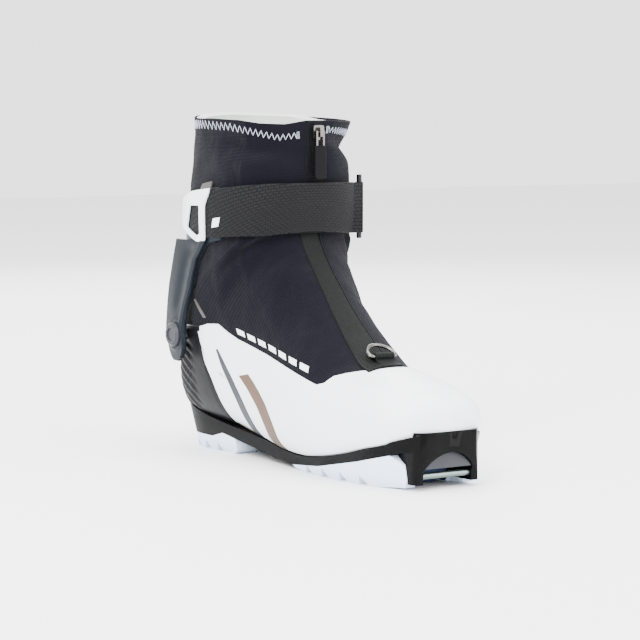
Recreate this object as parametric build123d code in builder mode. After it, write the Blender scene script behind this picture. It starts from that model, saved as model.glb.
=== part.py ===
"""Cross country ski boot, right foot, built in layers around one foot form.

Frame: X runs from heel to toe, +Y is the medial (inner) side, +Z is up and the floor is z = 0.
Millimetres throughout. The boot is a sole unit, a layered upper, and a hinged ankle cuff that
carries the shaft, the cuff strap and the zip.
"""
from build123d import *
import os
from math import atan2, ceil, cos, degrees, hypot, radians, sin

os.makedirs("parts", exist_ok=True)

# ---- driving dimensions ------------------------------------------------------------------------
OUTER_SKIN = 3.0            # thickness of the outer layer: toe shell, heel counter and gaiter
LINER_FACE = 5.0            # depth of the liner's outer face below the outer surface
LINER_BACK = 9.2            # depth of the liner's inner face
PANEL_GAP = 0.012           # gap between butted panels, in stations
RIM_Z = 222.6               # top edge of the collar

PIVOT_X, PIVOT_Z = -98.0, 78.5      # cuff hinge axis, along Y
ARM_INNER_Y = 51.7                  # inner face of the cuff arms
CAP_FACE_Y = 58.6                   # outer face of the pivot caps, the widest point of the boot
FLEX_HUB = 16.0                     # radius about the pivot that belongs to the flexing fabric
LEAN_LOW, LEAN_HIGH = 15.0, 42.0    # edges of the flexing wedge ahead of the pivot, degrees
BACK_LOW, BACK_HIGH = 172.0, 152.0  # edges of the flexing wedge behind the pivot, degrees

BAR_X, BAR_Z, BAR_D = 130.75, 8.5, 4.0      # standard binding bar at the toe
RECESS_HALF = 18.0                          # half width of the recess that exposes the bar
RECESS_X = 113.0                            # back wall of the toe recess
RECESS_TOP = 23.0                           # crown of the toe recess
RECESS_SPRING = 13.0                        # where its arch springs from the side walls
BUMPER_HALF = 25.6                          # widest half width of the toe bumper
BUMPER_LOW, BUMPER_TALL = 3.8, 31.9
TOE_X = 138.6                               # front face of the bumper

STRAP_LOW, STRAP_HIGH = 145.5, 181.5        # cuff strap edges where it crosses the front
RING_X, RING_Y = -28.0, 46.5                # centre of the rectangular strap ring
SLIDER_Z = 214.0                            # closed zip slider
HALF_SPAN = 80.0                            # half width of every cutting prism

# Stations of the foot form, toe to collar. Each is a slice between a point on the front line
# (front_x, front_z) and a point on the sole or back line (back_x, back_z), with the lateral and
# medial half widths, how far down the slice the widest point lies, and the roundness exponents.
STATIONS = (
    (137.2, 46.0, 137.2, 30.0, 0.6, 0.6, .55, 2.2, 2.6),
    (134.2, 52.0, 134.2, 28.0, 19.0, 19.5, .56, 2.2, 2.8),
    (126.8, 57.0, 125.8, 25.5, 30.0, 31.5, .60, 2.2, 3.0),
    (114.8, 61.3, 112.8, 22.0, 38.0, 38.0, .62, 2.2, 3.2),
    (97.8, 65.3, 94.8, 18.0, 43.0, 41.5, .64, 2.2, 3.4),
    (79.2, 68.8, 74.8, 14.0, 46.5, 44.0, .66, 2.1, 3.6),
    (61.5, 73.0, 54.8, 10.5, 48.0, 45.0, .66, 2.0, 3.6),
    (43.0, 84.4, 32.8, 8.0, 48.0, 45.0, .66, 2.0, 3.6),
    (24.8, 99.5, 8.8, 7.5, 46.0, 44.0, .66, 2.05, 3.4),
    (6.2, 117.0, -19.2, 9.5, 43.5, 44.5, .64, 2.15, 3.2),
    (-7.2, 131.0, -57.0, 14.0, 43.0, 47.5, .58, 2.3, 3.0),
    (-15.2, 142.5, -107.0, 15.0, 45.0, 49.0, .50, 2.4, 2.9),
    (-17.8, 151.0, -133.0, 26.0, 47.5, 50.0, .42, 2.5, 2.6),
    (-17.2, 158.0, -137.0, 50.0, 49.5, 50.5, .40, 2.5, 2.3),
    (-15.8, 165.0, -135.0, 80.0, 50.0, 50.5, .42, 2.5, 2.1),
    (-13.8, 172.5, -130.0, 112.0, 50.5, 50.5, .44, 2.4, 2.0),
    (-11.8, 182.0, -125.3, 143.0, 51.0, 50.0, .47, 2.3, 2.1),
    (-10.2, 195.0, -122.2, 172.0, 50.5, 49.0, .49, 2.2, 2.1),
    (-9.8, 208.0, -120.2, 198.0, 48.5, 48.0, .50, 2.1, 2.1),
    (-10.2, 221.5, -118.8, 223.0, 46.0, 50.0, .50, 2.1, 2.1),
    (-10.6, 234.0, -118.0, 236.0, 44.0, 50.0, .50, 2.1, 2.1),
)
LAST_STATION = len(STATIONS) - 1


# ---- the foot form as a surface ----------------------------------------------------------------
def station_at(s):
    """Catmull-Rom blend of the station table at a fractional station number."""
    index = min(max(int(s), 0), LAST_STATION - 1)
    t = s - index
    near, far = STATIONS[index], STATIONS[index + 1]
    before = STATIONS[index - 1] if index else [2 * a - b for a, b in zip(near, far)]
    after = STATIONS[index + 2] if index + 2 <= LAST_STATION else [2 * b - a for a, b in zip(near, far)]
    return [0.5 * (2 * b + (c - a) * t + (2 * a - 5 * b + 4 * c - d) * t ** 2
                   + (3 * b - a - 3 * c + d) * t ** 3)
            for a, b, c, d in zip(before, near, far, after)]


def skin_point(s, phi):
    """A point on the outer surface: phi is 0 on the front line, 90 lateral and 180 underneath."""
    front_x, front_z, back_x, back_z, lateral, medial, widest, n_top, n_bottom = station_at(s)
    c, sine = cos(radians(phi)), sin(radians(phi))
    power = 2 / (n_top if c >= 0 else n_bottom)
    along = widest + (-widest if c >= 0 else 1 - widest) * abs(c) ** power
    half = lateral if sine >= 0 else medial
    side = -half * (1 if sine >= 0 else -1) * abs(sine) ** power
    return Vector(front_x + (back_x - front_x) * along, side, front_z + (back_z - front_z) * along)


def skin_normal(s, phi):
    """The outward normal of the outer surface, turned to +X where the toe closes."""
    probe = max(s, 0.5)
    along = skin_point(min(probe + 0.05, LAST_STATION), phi) - skin_point(probe - 0.05, phi)
    around = skin_point(probe, phi + 3) - skin_point(probe, phi - 3)
    normal = along.cross(around).normalized()
    centre = (skin_point(probe, 0) + skin_point(probe, 180)) * 0.5
    if normal.dot(skin_point(probe, phi) - centre) < 0:
        normal = normal * -1
    share = min(s / 0.5, 1.0)
    return (normal * share + Vector(1, 0, 0) * (1 - share)).normalized()


def layer_point(s, phi, offset):
    return skin_point(s, phi) + skin_normal(s, phi) * offset


def line_value(points, at):
    """The value at a position on a line given as sorted (position, value) points."""
    if at <= points[0][0]:
        return points[0][1]
    for (p0, v0), (p1, v1) in zip(points, points[1:]):
        if at <= p1:
            return v0 + (v1 - v0) * (at - p0) / (p1 - p0)
    return points[-1][1]


def crossing(phi, test, start=0.0):
    """The first station along the line of constant phi whose side view point passes the test."""
    step = 0.125
    s = start
    while s < LAST_STATION and not test(*side_view(s, phi)):
        s += step
    low, high = max(s - step, start), min(s, LAST_STATION)
    for _ in range(10):
        middle = (low + high) / 2
        if test(*side_view(middle, phi)):
            high = middle
        else:
            low = middle
    return high


def side_view(s, phi):
    point = skin_point(s, phi)
    return point.X, point.Z


# ---- solids from the surface -------------------------------------------------------------------
def solid_between(outer, inner, closed=False):
    """A solid between two grids of points; closed joins the last column to the first."""
    columns = list(range(len(outer))) + ([0] if closed else [])
    last = len(outer[0]) - 1
    corners = []

    def quad(a, b, c, d):
        corners.extend(((a, b, c), (a, c, d)))

    for i, j in zip(columns, columns[1:]):
        for k in range(last):
            quad(outer[i][k], outer[j][k], outer[j][k + 1], outer[i][k + 1])
            quad(inner[i][k], inner[i][k + 1], inner[j][k + 1], inner[j][k])
        quad(outer[i][0], inner[i][0], inner[j][0], outer[j][0])
        quad(outer[i][last], outer[j][last], inner[j][last], inner[i][last])
    if not closed:
        for k in range(last):
            quad(outer[0][k], outer[0][k + 1], inner[0][k + 1], inner[0][k])
            quad(outer[-1][k], inner[-1][k], inner[-1][k + 1], outer[-1][k + 1])
    return faceted_solid(corners)


def faceted_solid(corners):
    return Solid(Shell([Face(Wire.make_polygon(corner, close=True)) for corner in corners]))


def form_core(height, low, high, rows, count):
    """The whole foot form between two stations, grown by height, as one filled solid."""
    rings = [[layer_point(low + (high - low) * row / rows, 360 * step / count, height)
              for step in range(count)] for row in range(rows + 1)]
    corners = []
    for near, far in zip(rings, rings[1:]):
        for i in range(count):
            j = (i + 1) % count
            corners.extend(((near[i], near[j], far[j]), (near[i], far[j], far[i])))
    for ring in (rings[0], rings[-1]):
        centre = sum(ring, Vector()) * (1 / count)
        corners.extend((ring[i], ring[(i + 1) % count], centre) for i in range(count))
    return faceted_solid(corners)


def panel(phis, low, high, depth, height=0.0, spacing=0.8, closed=False):
    """A panel of the layer between two offsets, from station low(phi) to high(phi)."""
    spans = [(low(phi), high(phi)) for phi in phis]
    rows = max(1, ceil(max(b - a for a, b in spans) / spacing))

    def grid(offset):
        return [[layer_point(a + (b - a) * row / rows, phi, offset) for row in range(rows + 1)]
                for phi, (a, b) in zip(phis, spans)]

    return solid_between(grid(height), grid(depth), closed)


def around(start, end, count):
    """Evenly spaced angles about the form."""
    return [start + (end - start) * step / count for step in range(count + 1)]


def side_prism(points, low, high):
    """A prism across the boot whose side view is the closed outline through points (x, z)."""
    with BuildPart() as prism:
        with BuildSketch(Plane.XZ.offset(-high)):
            with BuildLine():
                Polyline(*points, close=True)
            make_face()
        extrude(amount=high - low)
    return prism.part


def block(x_range, y_range, z_range):
    with BuildPart() as made:
        with Locations([tuple(sum(pair) / 2 for pair in (x_range, y_range, z_range))]):
            Box(*(pair[1] - pair[0] for pair in (x_range, y_range, z_range)))
    return made.part


def finish(part, label):
    part.label = label
    export_step(part, f"parts/{label}.step")


# ---- seams, as side view lines -----------------------------------------------------------------
# Top edge of the white shell and of the heel counter, (x, z), heel to toe.
SEAM = ((-150, 87), (-122, 86), (-104, 84), (-86, 84.5), (-78, 84.7), (-70.3, 86.6), (-58.4, 87.4),
        (-42.5, 80.2), (-6, 72.2), (29.4, 63.2), (50.4, 57.9), (55.5, 59.3), (58.2, 63.6),
        (64.0, 65.6), (69.6, 67.0), (77.4, 68.4), (84.0, 72.5))
# Front edge of the heel counter, (z, x), sole to ankle.
COUNTER_EDGE = ((13.0, -50.0), (24.7, -59.0), (36.5, -64.0), (49.1, -69.2), (61.2, -76.5), (72.0, -80.8),
                (84.5, -86.0))
# Edges of the cuff strap, (x, z), back to front.
STRAP_TOP = ((-100, 166.5), (-56, 176.0), (-33, 179.0), (-19, 180.8), (-10, 181.5))
STRAP_BOTTOM = ((-100, 147.5), (-62, 145.0), (-35, 147.0), (-17, 148.5), (-10, 149.0))


def pivot_angle(x, z):
    return degrees(atan2(z - PIVOT_Z, x - PIVOT_X)) % 360


def past_seam(x, z):
    return z > line_value(SEAM, x)


def past_counter_edge(x, z):
    return x < line_value(COUNTER_EDGE, z)


def in_flex(x, z):
    return hypot(x - PIVOT_X, z - PIVOT_Z) < FLEX_HUB or LEAN_LOW < pivot_angle(x, z) < BACK_LOW


def in_shaft(x, z):
    return hypot(x - PIVOT_X, z - PIVOT_Z) > FLEX_HUB and LEAN_HIGH < pivot_angle(x, z) < BACK_HIGH


def seam_station(phi):
    return crossing(phi, past_seam)


def flex_station(phi):
    return crossing(phi, in_flex, start=2.0)


def shaft_station(phi):
    return crossing(phi, in_shaft, start=2.0)


def rim_station(phi):
    return crossing(phi, lambda x, z: z > RIM_Z, start=15.0)


# ---- sole unit ---------------------------------------------------------------------------------
SOLE_OUTLINE = ((128, 20), (118, 26.5), (100, 32.5), (78, 35.5), (50, 36.5), (20, 34.0), (-15, 31.0),
                (-55, 30.0), (-90, 30.5), (-112, 27.5), (-124, 19.0))
SOLE_DRAFT = -13.0
SOLE_HIGH = 42.0
BAND_TOP = ((-145, 32), (-119, 30), (-104, 27), (-84, 23), (-64, 20), (-36, 17), (-10, 14.2), (23, 12.2),
            (58, 15.5), (96, 22.5), (118, 28.5), (TOE_X + 5, 36.5))
BAND_BOTTOM = ((TOE_X + 5, 27.5), (118, 21.0), (92, 14.6), (49, 6.3), (14.5, 2.9), (-19, 5.0),
               (-52.5, 10.2), (-73, 13.2), (-87, 9.6), (-145, 9.0))

with BuildPart() as sole_blank:
    with BuildSketch(Plane.XY):
        with BuildLine():
            Spline((-128.5, 0), *[(x, -y) for x, y in reversed(SOLE_OUTLINE)], (130.5, 0),
                   *SOLE_OUTLINE, periodic=True)
        make_face()
    extrude(amount=SOLE_HIGH, taper=SOLE_DRAFT)

LUG_INNER_Y = 19.6                          # the front lugs lie outside this, beside the recess
LUG_BACK_X = 100.0
LUG_SIDE = [(LUG_BACK_X, 20.9), (118, 20.9), (125.6, 15.5), (127.4, 6.0), (127.4, -1)]
LEG_FRONT = [(134.2, -1), (134.2, 9.0), (TOE_X, 21.0), (TOE_X + 5, 21.0), (TOE_X + 5, -1)]

with BuildPart() as bumper_blank:
    with BuildSketch(Plane.XY.offset(BUMPER_LOW)):
        with BuildLine():
            Polyline((104, -24.5), (122, -BUMPER_HALF), (133, -24), (TOE_X, -19), (TOE_X, 19), (133, 24),
                     (122, BUMPER_HALF), (104, 24.5), close=True)
        make_face()
        fillet(vertices().sort_by(Axis.X)[-6:], radius=4)
    extrude(amount=BUMPER_TALL)
    add(side_prism(LEG_FRONT, -HALF_SPAN, HALF_SPAN), mode=Mode.SUBTRACT)
    for side in (-1, 1):
        lug_y = sorted((side * LUG_INNER_Y, side * HALF_SPAN))
        add(side_prism(LUG_SIDE + [(LUG_BACK_X, -1)], *lug_y), mode=Mode.SUBTRACT)

with BuildPart() as recess_blank:
    with BuildSketch(Plane.YZ.offset(RECESS_X)):
        with BuildLine():
            Polyline((-RECESS_HALF, RECESS_SPRING), (-RECESS_HALF, -5), (RECESS_HALF, -5),
                     (RECESS_HALF, RECESS_SPRING))
            ThreePointArc((RECESS_HALF, RECESS_SPRING), (0, RECESS_TOP), (-RECESS_HALF, RECESS_SPRING))
        make_face()
    extrude(amount=60)

with BuildPart() as bar_bore:
    with BuildSketch(Plane.XZ.offset(-23)):
        with Locations((BAR_X, BAR_Z)):
            Circle(BAR_D / 2 + 0.05)
    extrude(amount=46)

sole_clear = form_core(0.9, 0.2, 14.0, rows=28, count=36)

GUIDE_X, GUIDE_HALF, GUIDE_Z = (98.2, RECESS_X + 0.2), 15.1, (1.0, 14.2)     # binding guide block
GUIDE_GAP = 0.2
guide_slot_y = (-GUIDE_HALF - GUIDE_GAP, GUIDE_HALF + GUIDE_GAP)
guide_pocket = block((GUIDE_X[0] - GUIDE_GAP, RECESS_X + 0.5), guide_slot_y, (-1.0, GUIDE_Z[1] + 0.1))

with BuildPart() as sole_plate:
    add(sole_blank.part)
    add(side_prism(BAND_TOP + BAND_BOTTOM, -HALF_SPAN, HALF_SPAN), mode=Mode.INTERSECT)
    add(bumper_blank.part)
    add(sole_clear, mode=Mode.SUBTRACT)
    add(guide_pocket, mode=Mode.SUBTRACT)
    add(recess_blank.part, mode=Mode.SUBTRACT)
    add(bar_bore.part, mode=Mode.SUBTRACT)
finish(sole_plate.part, "sole_plate")

with BuildPart() as binding_bar:
    with BuildSketch(Plane.XZ.offset(-22.8)):
        with Locations((BAR_X, BAR_Z)):
            Circle(BAR_D / 2)
    extrude(amount=45.6)
    chamfer(binding_bar.edges().filter_by(GeomType.CIRCLE), length=0.4)
finish(binding_bar.part, "binding_bar")

# ---- outsole -----------------------------------------------------------------------------------
GROOVE_Y, GROOVE_WIDE, GROOVE_HIGH = 11.0, 6.0, 7.0     # binding guide grooves along the sole
NOTCH_Y, NOTCH_HIGH, NOTCH_LONG = 24.0, 6.0, 8.0        # slanted notches between the side lugs

FOREFOOT_TREAD = [(18, 1.2), (28, 0.0), (104, 0.0), (125.5, 1.4)]
FOREFOOT_SIDE = [(127.4, 6.0), (125.6, 15.5), (118, 20.8), (92, 14.5), (49, 6.25), (14.5, 2.85)]
HEEL_TREAD = [(-132, 0.0), (-62, 0.0), (-58, 3.0)]
HEEL_SIDE = [(-58, 10.9), (-73, 13.15), (-87, 9.55), (-132, 9.1)]

with BuildPart() as guide_grooves:
    with Locations(*[(0, side * GROOVE_Y, GROOVE_HIGH / 2 - 1) for side in (-1, 1)]):
        Box(300, GROOVE_WIDE, GROOVE_HIGH + 2)

with BuildPart() as side_notches:
    for notch_x in (34, 53, 72, 91, -82, -98, -114):
        wedge = [(notch_x, NOTCH_HIGH), (notch_x - 1.5, -1), (notch_x + NOTCH_LONG, -1)]
        for side in (-1, 1):
            add(side_prism(wedge, *sorted((side * NOTCH_Y, side * HALF_SPAN))))

with BuildPart() as outsole_forefoot:
    add(sole_blank.part)
    add(block((LUG_BACK_X, 128), (-BUMPER_HALF, BUMPER_HALF), (0, 21)))
    add(side_prism(FOREFOOT_TREAD + FOREFOOT_SIDE, -HALF_SPAN, HALF_SPAN), mode=Mode.INTERSECT)
    add(guide_grooves.part, mode=Mode.SUBTRACT)
    add(side_notches.part, mode=Mode.SUBTRACT)
    add(bumper_blank.part, mode=Mode.SUBTRACT)
    add(recess_blank.part, mode=Mode.SUBTRACT)
    add(block((GUIDE_X[0] - GUIDE_GAP, RECESS_X + 0.5), guide_slot_y, (-1, 22)), mode=Mode.SUBTRACT)
finish(outsole_forefoot.part, "outsole_forefoot")

with BuildPart() as outsole_heel:
    add(sole_blank.part)
    add(side_prism(HEEL_TREAD + HEEL_SIDE, -HALF_SPAN, HALF_SPAN), mode=Mode.INTERSECT)
    add(guide_grooves.part, mode=Mode.SUBTRACT)
    add(side_notches.part, mode=Mode.SUBTRACT)
finish(outsole_heel.part, "outsole_heel")

with BuildPart() as toe_guide_block:
    add(block(GUIDE_X, (-GUIDE_HALF, GUIDE_HALF), GUIDE_Z))
    add(guide_grooves.part, mode=Mode.SUBTRACT)
    chamfer(toe_guide_block.edges().filter_by(Axis.Y).group_by(Axis.Z)[0], length=1.5)
finish(toe_guide_block.part, "toe_guide_block")

INSERT_EDGE = 0.1                   # clearance of the insert all round its arch
with BuildPart() as toe_recess_insert:
    with BuildSketch(Plane.YZ.offset(RECESS_X + 3)):
        with BuildLine():
            Line((-RECESS_HALF + INSERT_EDGE, RECESS_SPRING), (RECESS_HALF - INSERT_EDGE, RECESS_SPRING))
            ThreePointArc((RECESS_HALF - INSERT_EDGE, RECESS_SPRING), (0, RECESS_TOP - INSERT_EDGE),
                          (-RECESS_HALF + INSERT_EDGE, RECESS_SPRING))
        make_face()
    extrude(amount=19)
    add(bumper_blank.part, mode=Mode.INTERSECT)
finish(toe_recess_insert.part, "toe_recess_insert")


# ---- upper: shell, counter, boards and footbed --------------------------------------------------
UNDER_EDGE = 140.0                  # how far round the shell is turned in under the foot
RIVET_R, RIVET_CLEAR = 4.0, 0.05
WHOLE_RING = around(0, 345, 23)
COUNTER_SIDE = 90.0                 # the heel counter starts this far round each side
COUNTER_TIP = 0.15                  # height of the counter where it starts, in stations


def pivot_cylinder(radius, low, high):
    """A cylinder on the cuff hinge axis between two values of y."""
    with BuildPart() as made:
        with BuildSketch(Plane.XZ.offset(-high)):
            with Locations((PIVOT_X, PIVOT_Z)):
                Circle(radius)
        extrude(amount=high - low)
    return made.part


def counter_line(phi):
    """Where the shell hands over to the counter, running out into the seam at its upper end."""
    return min(crossing(phi, past_counter_edge), seam_station(phi) - COUNTER_TIP)


def shell_top(phi):
    return (counter_line(phi) if abs(phi) >= COUNTER_SIDE else seam_station(phi)) - PANEL_GAP


rivet_bore = pivot_cylinder(RIVET_R + RIVET_CLEAR, -HALF_SPAN, HALF_SPAN)

with BuildPart() as shell_upper:
    add(panel(around(-UNDER_EDGE, UNDER_EDGE, 28), lambda phi: 0.0, shell_top, -OUTER_SKIN))
finish(shell_upper.part, "shell_upper")

with BuildPart() as heel_counter:
    add(panel(around(COUNTER_SIDE, 360 - COUNTER_SIDE, 18), lambda phi: counter_line(phi) + PANEL_GAP,
              lambda phi: seam_station(phi) - PANEL_GAP, -OUTER_SKIN, spacing=0.4))
    add(rivet_bore, mode=Mode.SUBTRACT)
finish(heel_counter.part, "heel_counter")

with BuildPart() as lasting_board:
    add(panel(around(UNDER_EDGE + 3, 357 - UNDER_EDGE, 8), lambda phi: 2.2,
              lambda phi: counter_line(phi) - 3 * PANEL_GAP, -OUTER_SKIN))
finish(lasting_board.part, "lasting_board")

FOOTBED_TOP, FOOTBED_THICK = -LINER_BACK - 1.4, 3.6      # its lower face lies just above the liner
with BuildPart() as footbed:
    add(panel(around(150, 210, 4), lambda phi: 2.6, lambda phi: 11.0, FOOTBED_TOP - FOOTBED_THICK,
              FOOTBED_TOP))
finish(footbed.part, "footbed")

# ---- gaiter ------------------------------------------------------------------------------------
ZIP_PHI = 6.0                       # the zip and its storm flap lie within this angle of the front line
GAITER_RING = [ZIP_PHI + 0.4] + around(10, 350, 34) + [359.6 - ZIP_PHI]
LOWER_SIDE = 80.0                   # the lower gaiter reaches this far round each side


def gaiter_foot(phi):
    return seam_station(phi) + PANEL_GAP


for side_name, side_phis in (("lateral", [ZIP_PHI + 0.4] + around(10, LOWER_SIDE, 7)),
                             ("medial", around(360 - LOWER_SIDE, 350, 7) + [359.6 - ZIP_PHI])):
    with BuildPart() as gaiter_lower:
        add(panel(side_phis, gaiter_foot, lambda phi: flex_station(phi) - PANEL_GAP, -OUTER_SKIN))
    finish(gaiter_lower.part, f"gaiter_lower_{side_name}")


def flex_foot(phi):
    return max(gaiter_foot(phi), flex_station(phi))


with BuildPart() as gaiter_flex:
    add(panel(GAITER_RING, flex_foot, lambda phi: shaft_station(phi) - PANEL_GAP, -OUTER_SKIN))
    add(rivet_bore, mode=Mode.SUBTRACT)
finish(gaiter_flex.part, "gaiter_flex")

with BuildPart() as gaiter_upper:
    add(panel(GAITER_RING, shaft_station, rim_station, -OUTER_SKIN))
finish(gaiter_upper.part, "gaiter_upper")

# ---- zip ---------------------------------------------------------------------------------------
ZIP_RING = around(-ZIP_PHI, ZIP_PHI, 2)
with BuildPart() as storm_flap_lower:
    add(panel(ZIP_RING, gaiter_foot, lambda phi: flex_station(phi) - PANEL_GAP, -OUTER_SKIN, 0.5))
finish(storm_flap_lower.part, "storm_flap_lower")

with BuildPart() as storm_flap_flex:
    add(panel(ZIP_RING, flex_station, lambda phi: shaft_station(phi) - PANEL_GAP, -OUTER_SKIN, 0.5))
finish(storm_flap_flex.part, "storm_flap_flex")

with BuildPart() as zip_tape:
    add(panel(ZIP_RING, shaft_station, rim_station, -OUTER_SKIN, 0.3))
finish(zip_tape.part, "zip_tape")

TEETH_LAYER = (0.6, 1.3)            # heights of the teeth above the tape
with BuildPart() as zip_teeth:
    add(panel(around(-1.6, 1.6, 2), lambda phi: shaft_station(phi) + 0.2, lambda phi: rim_station(phi) - 0.1,
              *TEETH_LAYER))
finish(zip_teeth.part, "zip_teeth")

# ---- padded liner ------------------------------------------------------------------------------
LINING_Z = 196.0                    # the pale collar lining starts here


def lining_station(phi):
    return crossing(phi, lambda x, z: z > LINING_Z, start=12.0)


with BuildPart() as liner_lower:
    add(panel(WHOLE_RING, lambda phi: 0.6, lambda phi: flex_station(phi) - PANEL_GAP, -LINER_BACK,
              -LINER_FACE, closed=True))
finish(liner_lower.part, "liner_lower")

with BuildPart() as liner_flex:
    add(panel(WHOLE_RING, flex_station, lambda phi: shaft_station(phi) - PANEL_GAP, -LINER_BACK,
              -LINER_FACE, closed=True))
finish(liner_flex.part, "liner_flex")

with BuildPart() as liner_upper:
    add(panel(WHOLE_RING, shaft_station, lambda phi: lining_station(phi) - PANEL_GAP, -LINER_BACK,
              -LINER_FACE, closed=True))
finish(liner_upper.part, "liner_upper")

with BuildPart() as collar_lining:
    add(panel(WHOLE_RING, lining_station, rim_station, -LINER_BACK, -LINER_FACE, closed=True))
finish(collar_lining.part, "collar_lining")

with BuildPart() as tongue:
    add(panel(around(-34, 34, 6), lambda phi: 6.2, lambda phi: 18.2, -LINER_BACK - 4.4, -LINER_BACK - 1.8))
finish(tongue.part, "tongue")

# ---- cuff --------------------------------------------------------------------------------------
ARM_STATION_Z = (62.0, 65.0, 70.0, 78.0, 88.0, 99.0, 110.0, 120.0, 130.0, 141.0)
ARM_HALF = ((62, 55.4), (80, 56.2), (100, 55.4), (120, 54.4), (141, 53.3))
ARM_FRONT = ((62, -95.0), (65, -91.0), (70, -88.2), (90, -87.5), (99, -84.0), (110, -79.0), (120, -76.0),
             (130, -72.0), (136, -66.0), (141, -61.5))
ARM_HEEL = ((62, -101.0), (65, -105.0), (70, -109.0), (78, -113.0), (90, -115.0), (108, -111.0),
            (125, -105.0), (141, -99.0))
ARM_LEAST = 0.9                     # thinnest edge of an arm
PLAN_CENTRE_X, PLAN_REACH, PLAN_POWER = -70.0, 80.0, 3.0
POCKET_R, POCKET_Y = 8.4, 53.4      # seat of the pivot cap in the arm
BAND_LAYER = (0.4, 1.5)             # cuff band, between these heights above the gaiter
STRAP_LAYER = (1.7, 2.7)            # and so on outwards for the strap, its flap and the strap caps
FLAP_LAYER = (2.9, 3.9)
CAP_LAYER = (3.1, 4.7)
BAND_FOOT = ((-160, 112), (-80, 112), (-76, 120), (-72, 129), (-66, 135), (-60, 141.5), (-40, 146))
BAND_HEAD = ((-160, 171), (-120, 169), (-90, 170), (-56, 177), (-40, 179))


def arm_face(x, z):
    """Outer face of a cuff arm: a superellipse in plan that narrows upwards."""
    share = abs((x - PLAN_CENTRE_X) / PLAN_REACH) ** PLAN_POWER
    return line_value(ARM_HALF, z) * (1 - share) ** (1 / PLAN_POWER)


def arm_heel(z):
    """Rear edge of an arm, where its outer face runs down to the least thickness."""
    share = ((ARM_INNER_Y + ARM_LEAST) / line_value(ARM_HALF, z)) ** PLAN_POWER
    return max(PLAN_CENTRE_X - PLAN_REACH * (1 - share) ** (1 / PLAN_POWER), line_value(ARM_HEEL, z))


def arm_solid(side):
    outer, inner = [], []
    for z in ARM_STATION_Z:
        xs = [arm_heel(z) + (line_value(ARM_FRONT, z) - arm_heel(z)) * step / 8 for step in range(9)]
        outer.append([Vector(x, side * arm_face(x, z), z) for x in xs])
        inner.append([Vector(x, side * ARM_INNER_Y, z) for x in xs])
    return solid_between(outer, inner)


def z_station(line, start=9.0):
    """Station as a function of phi where the surface rises through a side view line (x, z)."""
    return lambda phi: crossing(phi, lambda x, z: z > line_value(line, x), start)


def height_station(height):
    return z_station(((0, height), (1, height)))


band_foot, band_head = z_station(BAND_FOOT), z_station(BAND_HEAD)

with BuildPart() as cuff_shell:
    add(panel(around(78, 282, 24), band_foot, band_head, *BAND_LAYER))
    for side in (-1, 1):
        add(arm_solid(side))
        add(pivot_cylinder(POCKET_R, *sorted((side * POCKET_Y, side * HALF_SPAN))), mode=Mode.SUBTRACT)
    add(rivet_bore, mode=Mode.SUBTRACT)
finish(cuff_shell.part, "cuff_shell")

RIVET_INNER_Y = 44.9                # inner end of the rivet, flush inside the heel counter
SPACER_R, SPACER_Y = 8.0, (50.2, 51.5)      # low friction washer between counter and arm
CAP_CHAMFER = 1.6
DISH_R, DISH_DEEP = 4.4, 0.8        # shallow dish in the face of the pivot cap
for side_name, side in (("lateral", -1), ("medial", 1)):
    with BuildPart() as pivot_rivet:
        add(pivot_cylinder(RIVET_R, *sorted((side * RIVET_INNER_Y, side * (POCKET_Y + 0.1)))))
        add(pivot_cylinder(SPACER_R, *sorted(side * y for y in SPACER_Y)))
    finish(pivot_rivet.part, f"pivot_rivet_{side_name}")
    with BuildPart() as pivot_cap:
        add(pivot_cylinder(POCKET_R - 0.3, *sorted((side * (POCKET_Y + 0.2), side * CAP_FACE_Y))))
        face_edge = pivot_cap.edges().filter_by(GeomType.CIRCLE).sort_by(Axis.Y)[0 if side < 0 else -1]
        chamfer(face_edge, length=CAP_CHAMFER)
        dish_y = sorted((side * (CAP_FACE_Y - DISH_DEEP), side * HALF_SPAN))
        add(pivot_cylinder(DISH_R, *dish_y), mode=Mode.SUBTRACT)
    finish(pivot_cap.part, f"pivot_cap_{side_name}")

CAP_OUTLINE = ((-53.7, 177.0), (-60.2, 166.0), (-60.8, 142.8), (-77.0, 141.8), (-96.0, 145.0),
               (-103.0, 156.0), (-97.0, 169.5), (-78.0, 173.5))
CAP_WINDOW = ((-74.5, 164.0), (-66.5, 164.5), (-66.5, 147.0), (-82.5, 148.5))
for side_name, side, cap_phis in (("lateral", -1, around(70, 140, 7)), ("medial", 1, around(220, 290, 7))):
    reach = sorted((0, side * HALF_SPAN))
    with BuildPart() as cuff_cap:
        add(panel(cap_phis, height_station(136), height_station(181), *CAP_LAYER))
        add(side_prism(CAP_OUTLINE, *reach), mode=Mode.INTERSECT)
        add(side_prism(CAP_WINDOW, *reach), mode=Mode.SUBTRACT)
    finish(cuff_cap.part, f"cuff_cap_{side_name}")

# ---- cuff strap and its ring -------------------------------------------------------------------
strap_low, strap_high = z_station(STRAP_BOTTOM), z_station(STRAP_TOP)
RING_TURN = 143.0                   # heading of the ring from bar to bar, degrees from +X
RING_SPAN, RING_R = 9.5, 1.6        # distance between the ring's upright bars, and their radius
RING_LOW, RING_HIGH = 145.0, 184.0
ring_along = Vector(cos(radians(RING_TURN)), sin(radians(RING_TURN)), 0)
near_bar = Vector(RING_X, RING_Y, 0) - ring_along * (RING_SPAN / 2)
far_bar = Vector(RING_X, RING_Y, 0) + ring_along * (RING_SPAN / 2)


def bar_cylinder(centre, radius, low, high):
    with BuildPart() as made:
        with BuildSketch(Plane.XY.offset(low)):
            with Locations((centre.X, centre.Y)):
                Circle(radius)
        extrude(amount=high - low)
    return made.part


STRAP_START, STRAP_END = 124.0, -40.0       # angles round the form: under the cap, and at the ring
FLAP_START = 70.0
ANCHOR_START, ANCHOR_END = 302.0, 236.0

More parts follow.
